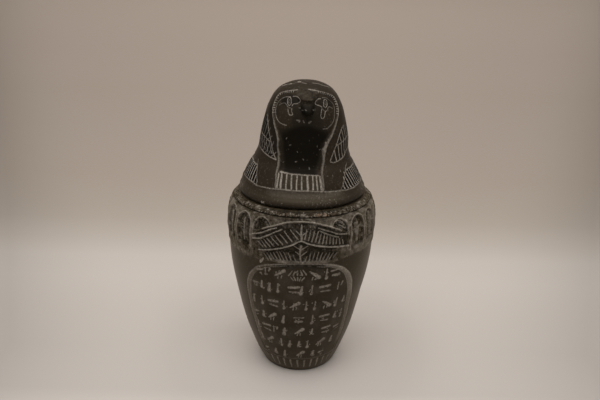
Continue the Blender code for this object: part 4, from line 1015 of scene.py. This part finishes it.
# the darkest colour also paints shade, the grey ground also paints a highlight on the lid, and the pale dust
# also paints highlights and sheen
DEEP = (0.0050, 0.0042, 0.0028)
DARK = (0.0235, 0.0182, 0.0127)
BROWN = (0.0320, 0.0246, 0.0164)
GROUND_AND_HIGHLIGHT = (0.066, 0.055, 0.040)
PECKED = (0.135, 0.115, 0.084)
WARM = (0.16, 0.108, 0.075)
PALE_DUST_AND_LIGHT = (0.343, 0.312, 0.275)
SHEEN = (1.0, 0.90, 0.78)
BLOOM = (1.0, 0.78, 0.42)


def stone(name, bloom):
    """Dark polished stone with pale dust in the cuts and grey-green pecked parts; its pale colour also
    paints highlights and sheen, and its darkest colour paints shade. bloom is how much its sides
    show a dull brown bloom."""
    n = Nodes(name)
    pale, rough, tone, warm = (n.layer(label) for label in LAYERS)
    base = n.mix(n.span(n.noise(22, 4), 0.35, 0.65), DARK, BROWN)
    base = n.mix(n.span(tone, 0.0, 0.5), DEEP, base)
    base = n.mix(n.span(tone, 0.5, 1.0), base, GROUND_AND_HIGHLIGHT)
    grain = n.noise(1.0, 3, 0.7)
    fleck = n.math("MULTIPLY", n.span(grain, 0.52, 0.72), rough)
    base = n.mix(fleck, base, PECKED)
    pit = n.math("MULTIPLY", n.span(n.noise(0.9, 2, 0.6), 0.42, 0.34), rough)
    base = n.mix(pit, base, DEEP)
    specks = n.math("MULTIPLY", warm, n.span(n.noise(1.4, 2, 0.6), 0.5, 0.62))
    base = n.mix(specks, base, WARM)
    dust_and_light = n.math("MULTIPLY", pale, n.span(n.noise(1.3, 3, 0.65), 0.32, 0.56, 0.3, 1.0))
    spots = n.math("MULTIPLY", n.span(n.noise(1.5, 2, 0.6), 0.58, 0.74), n.span(tone, 0.1, 0.4, 0.0, 0.13))
    dust_and_light = n.math("ADD", dust_and_light, spots)
    n.join(n.mix(dust_and_light, base, PALE_DUST_AND_LIGHT), n.shader.inputs["Base Color"])
    matt = n.math("ADD", n.math("MULTIPLY", rough, 0.6), dust_and_light)
    matt = n.math("ADD", n.span(tone, 0.0, 0.5, 0.6, 0.0), matt)
    n.join(n.span(matt, 0.0, 1.0, 0.38, 0.9), n.shader.inputs["Roughness"])
    for name, value in (("Specular IOR Level", 0.10), ("Specular Tint", (*SHEEN, 1.0)),
                        ("Sheen Weight", bloom), ("Sheen Roughness", 0.6), ("Sheen Tint", (*BLOOM, 1.0))):
        n.shader.inputs[name].default_value = value
    bump = n.add("ShaderNodeBump")
    bump.inputs["Strength"].default_value = 0.25
    bump.inputs["Distance"].default_value = 0.0003
    n.join(grain, bump.inputs["Height"])
    n.join(bump.outputs["Normal"], n.shader.inputs["Normal"])
    return n.material


# ------------------------------------------------------------------ pieces
def add_piece(name, mesh, node, material):
    """Thins a carved mesh to the triangle limit and puts it in place of its CAD node."""
    mesh.materials.append(material)
    mesh.shade_smooth()
    piece = bpy.data.objects.new(name, mesh)
    bpy.context.scene.collection.objects.link(piece)
    triangles = sum(len(face.vertices) - 2 for face in mesh.polygons)
    if triangles > MOST_TRIANGLES:
        thin = piece.modifiers.new("thin", "DECIMATE")
        thin.ratio = MOST_TRIANGLES / triangles
        depsgraph = bpy.context.evaluated_depsgraph_get()
        piece.data = bpy.data.meshes.new_from_object(piece.evaluated_get(depsgraph))
        piece.modifiers.clear()
        piece.data.shade_smooth()
    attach(piece, "root")
    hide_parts(node)
    return piece


# ------------------------------------------------------------------ stage, light and camera, in metres
# metres away plus metres up from under the jar, and the paper's colour there; the colours
# are painted light and shade, darker over the curve and lighter on the floor
SWEEP_COLOURS = [
    (-0.085, (0.610, 0.578, 0.554)), (-0.060, (0.535, 0.504, 0.481)), (0.060, (0.568, 0.534, 0.508)),
    (0.130, (0.598, 0.564, 0.538)), (0.185, (0.595, 0.560, 0.533)), (0.234, (0.534, 0.492, 0.456)),
    (0.300, (0.472, 0.427, 0.386)), (0.370, (0.444, 0.396, 0.354)), (0.450, (0.428, 0.374, 0.330)),
    (0.600, (0.424, 0.368, 0.326)), (0.700, (0.434, 0.375, 0.329)), (0.800, (0.468, 0.400, 0.357)),
    (0.885, (0.506, 0.440, 0.388))]
# painted light on the floor round the jar, lifting its shadow: colour, middle, where it starts to fade and
# ends, share
PAINTED_FLOOR_LIGHT = (1.0, 0.94, 0.90)
PAINTED_LIGHT_CENTRE, PAINTED_LIGHT_REACH, PAINTED_LIGHT_MOST = (-0.005, 0.018), (0.038, 0.115), 0.50
WALL_AWAY = 0.62             # metres behind the jar's axis
SWEEP_RADIUS = 0.30
SWEEP_FRONT, SWEEP_TOP, SWEEP_HALF = -2.0, 1.5, 2.5
EDGE_SHADE = 0.22            # how much darker the paper is far to the sides


def add_sweep():
    """A pale floor that curves up into a wall behind the jar, painted with light and shade along it,
    a pool of painted light round the jar and painted shade far to the sides.
    """
    turn = np.linspace(0, 90, 31) * DEGREE
    line = [(SWEEP_FRONT, 0.0)]
    for t in turn:
        away = WALL_AWAY - SWEEP_RADIUS + SWEEP_RADIUS * math.sin(t)
        line.append((away, SWEEP_RADIUS * (1 - math.cos(t))))
    line.append((WALL_AWAY, SWEEP_TOP))
    verts = [(x, y, z) for y, z in line for x in (-SWEEP_HALF, SWEEP_HALF)]
    faces = [(2 * k, 2 * k + 1, 2 * k + 3, 2 * k + 2) for k in range(len(line) - 1)]
    mesh = bpy.data.meshes.new("sweep")
    mesh.from_pydata(verts, [], faces)
    mesh.shade_smooth()
    sweep = bpy.data.objects.new("sweep", mesh)
    bpy.context.scene.collection.objects.link(sweep)
    n = Nodes("sweep_paper")
    split = n.add("ShaderNodeSeparateXYZ")
    n.join(n.place, split.inputs["Vector"])
    across, away, up = split.outputs
    along = n.math("ADD", away, up, clamp=False)
    colour = SWEEP_COLOURS[0][1]
    for (low, _), (high, above) in zip(SWEEP_COLOURS, SWEEP_COLOURS[1:]):
        colour = n.mix(n.span(along, low, high), colour, above)
    # painted light round the jar's foot on the floor
    spread = n.add("ShaderNodeVectorMath", operation="DISTANCE")
    n.join(n.place, spread.inputs[0])
    spread.inputs[1].default_value = (*PAINTED_LIGHT_CENTRE, 0.0)
    near = n.math("POWER", n.span(spread.outputs["Value"], *PAINTED_LIGHT_REACH, 1.0, 0.0), 1.5)
    colour = n.mix(n.math("MULTIPLY", near, PAINTED_LIGHT_MOST), colour, PAINTED_FLOOR_LIGHT)
    aside = n.math("SUBTRACT", n.math("ABSOLUTE", across, 0.0), n.math("MULTIPLY", away, 0.48))
    far = n.span(aside, 0.11, 0.26)
    shade = n.math("MULTIPLY", n.math("MULTIPLY", far, far), n.span(away, -0.35, -0.10, 0.0, EDGE_SHADE))
    n.join(n.mix(shade, colour, (0.0, 0.0, 0.0)), n.shader.inputs["Base Color"])
    n.shader.inputs["Roughness"].default_value = 0.9
    mesh.materials.append(n.material)


def add_area(name, place, aim, size, power, colour):
    """A rectangular light at a place, turned to an aim."""
    light = bpy.data.lights.new(name, "AREA")
    light.shape = "RECTANGLE"
    light.size, light.size_y = size
    light.energy = power
    light.color = colour
    lamp = bpy.data.objects.new(name, light)
    lamp.location = place
    lamp.rotation_euler = (Vector(aim) - Vector(place)).to_track_quat("-Z", "Y").to_euler()
    bpy.context.scene.collection.objects.link(lamp)


def add_lights():
    """A room that is bright above and dim all round, and a wide soft light overhead."""
    world = bpy.data.worlds.new("room")
    world.use_nodes = True
    tree = world.node_tree
    place = tree.nodes.new("ShaderNodeTexCoord")
    split = tree.nodes.new("ShaderNodeSeparateXYZ")
    tree.links.new(place.outputs["Generated"], split.inputs["Vector"])
    up = tree.nodes.new("ShaderNodeMapRange")
    tree.links.new(split.outputs["Z"], up.inputs["Value"])
    for name, number in zip(RANGE, (0.0, 0.9, 0.14, 0.6)):
        up.inputs[name].default_value = number
    back = tree.nodes["Background"]
    back.inputs["Color"].default_value = (1.0, 0.95, 0.89, 1.0)
    tree.links.new(up.outputs["Result"], back.inputs["Strength"])
    bpy.context.scene.world = world
    add_area("above", (0.0, -0.15, 1.1), (0.0, 0.0, 0.1), (1.0, 0.8), 9.0, (1.0, 0.96, 0.91))


LENS, SENSOR = 35.0, 36.0    # millimetres
CAMERA_PITCH = 20.4 * DEGREE
CAMERA_ROLL = 1.2 * DEGREE
CAMERA_AWAY = 0.4762
AIM_HEIGHT = 0.1428
AIM_ASIDE = -0.0013


def add_camera():
    """Looks down on the jar from the front, and is rolled a little."""
    data = bpy.data.cameras.new("camera")
    data.lens, data.sensor_width = LENS, SENSOR
    camera = bpy.data.objects.new("camera", data)
    bpy.context.scene.collection.objects.link(camera)
    back = Vector((0, -math.cos(CAMERA_PITCH), math.sin(CAMERA_PITCH)))
    side, up = Vector((1, 0, 0)), Vector((0, math.sin(CAMERA_PITCH), math.cos(CAMERA_PITCH)))
    right = side * math.cos(CAMERA_ROLL) + up * math.sin(CAMERA_ROLL)
    top = up * math.cos(CAMERA_ROLL) - side * math.sin(CAMERA_ROLL)
    turn = Matrix((right, top, back)).transposed().to_4x4()
    camera.matrix_world = Matrix.Translation(Vector((AIM_ASIDE, 0, AIM_HEIGHT)) + back * CAMERA_AWAY) @ turn
    bpy.context.scene.camera = camera


add_piece("carved_jar", build_jar(), "jar", stone("jar_stone_finish", 0.08))
add_piece("carved_lid", build_lid(), "falcon_head_lid", stone("lid_stone_finish", 0.0))
add_sweep()
add_lights()
add_camera()
bpy.context.scene.view_settings.view_transform = "Standard"
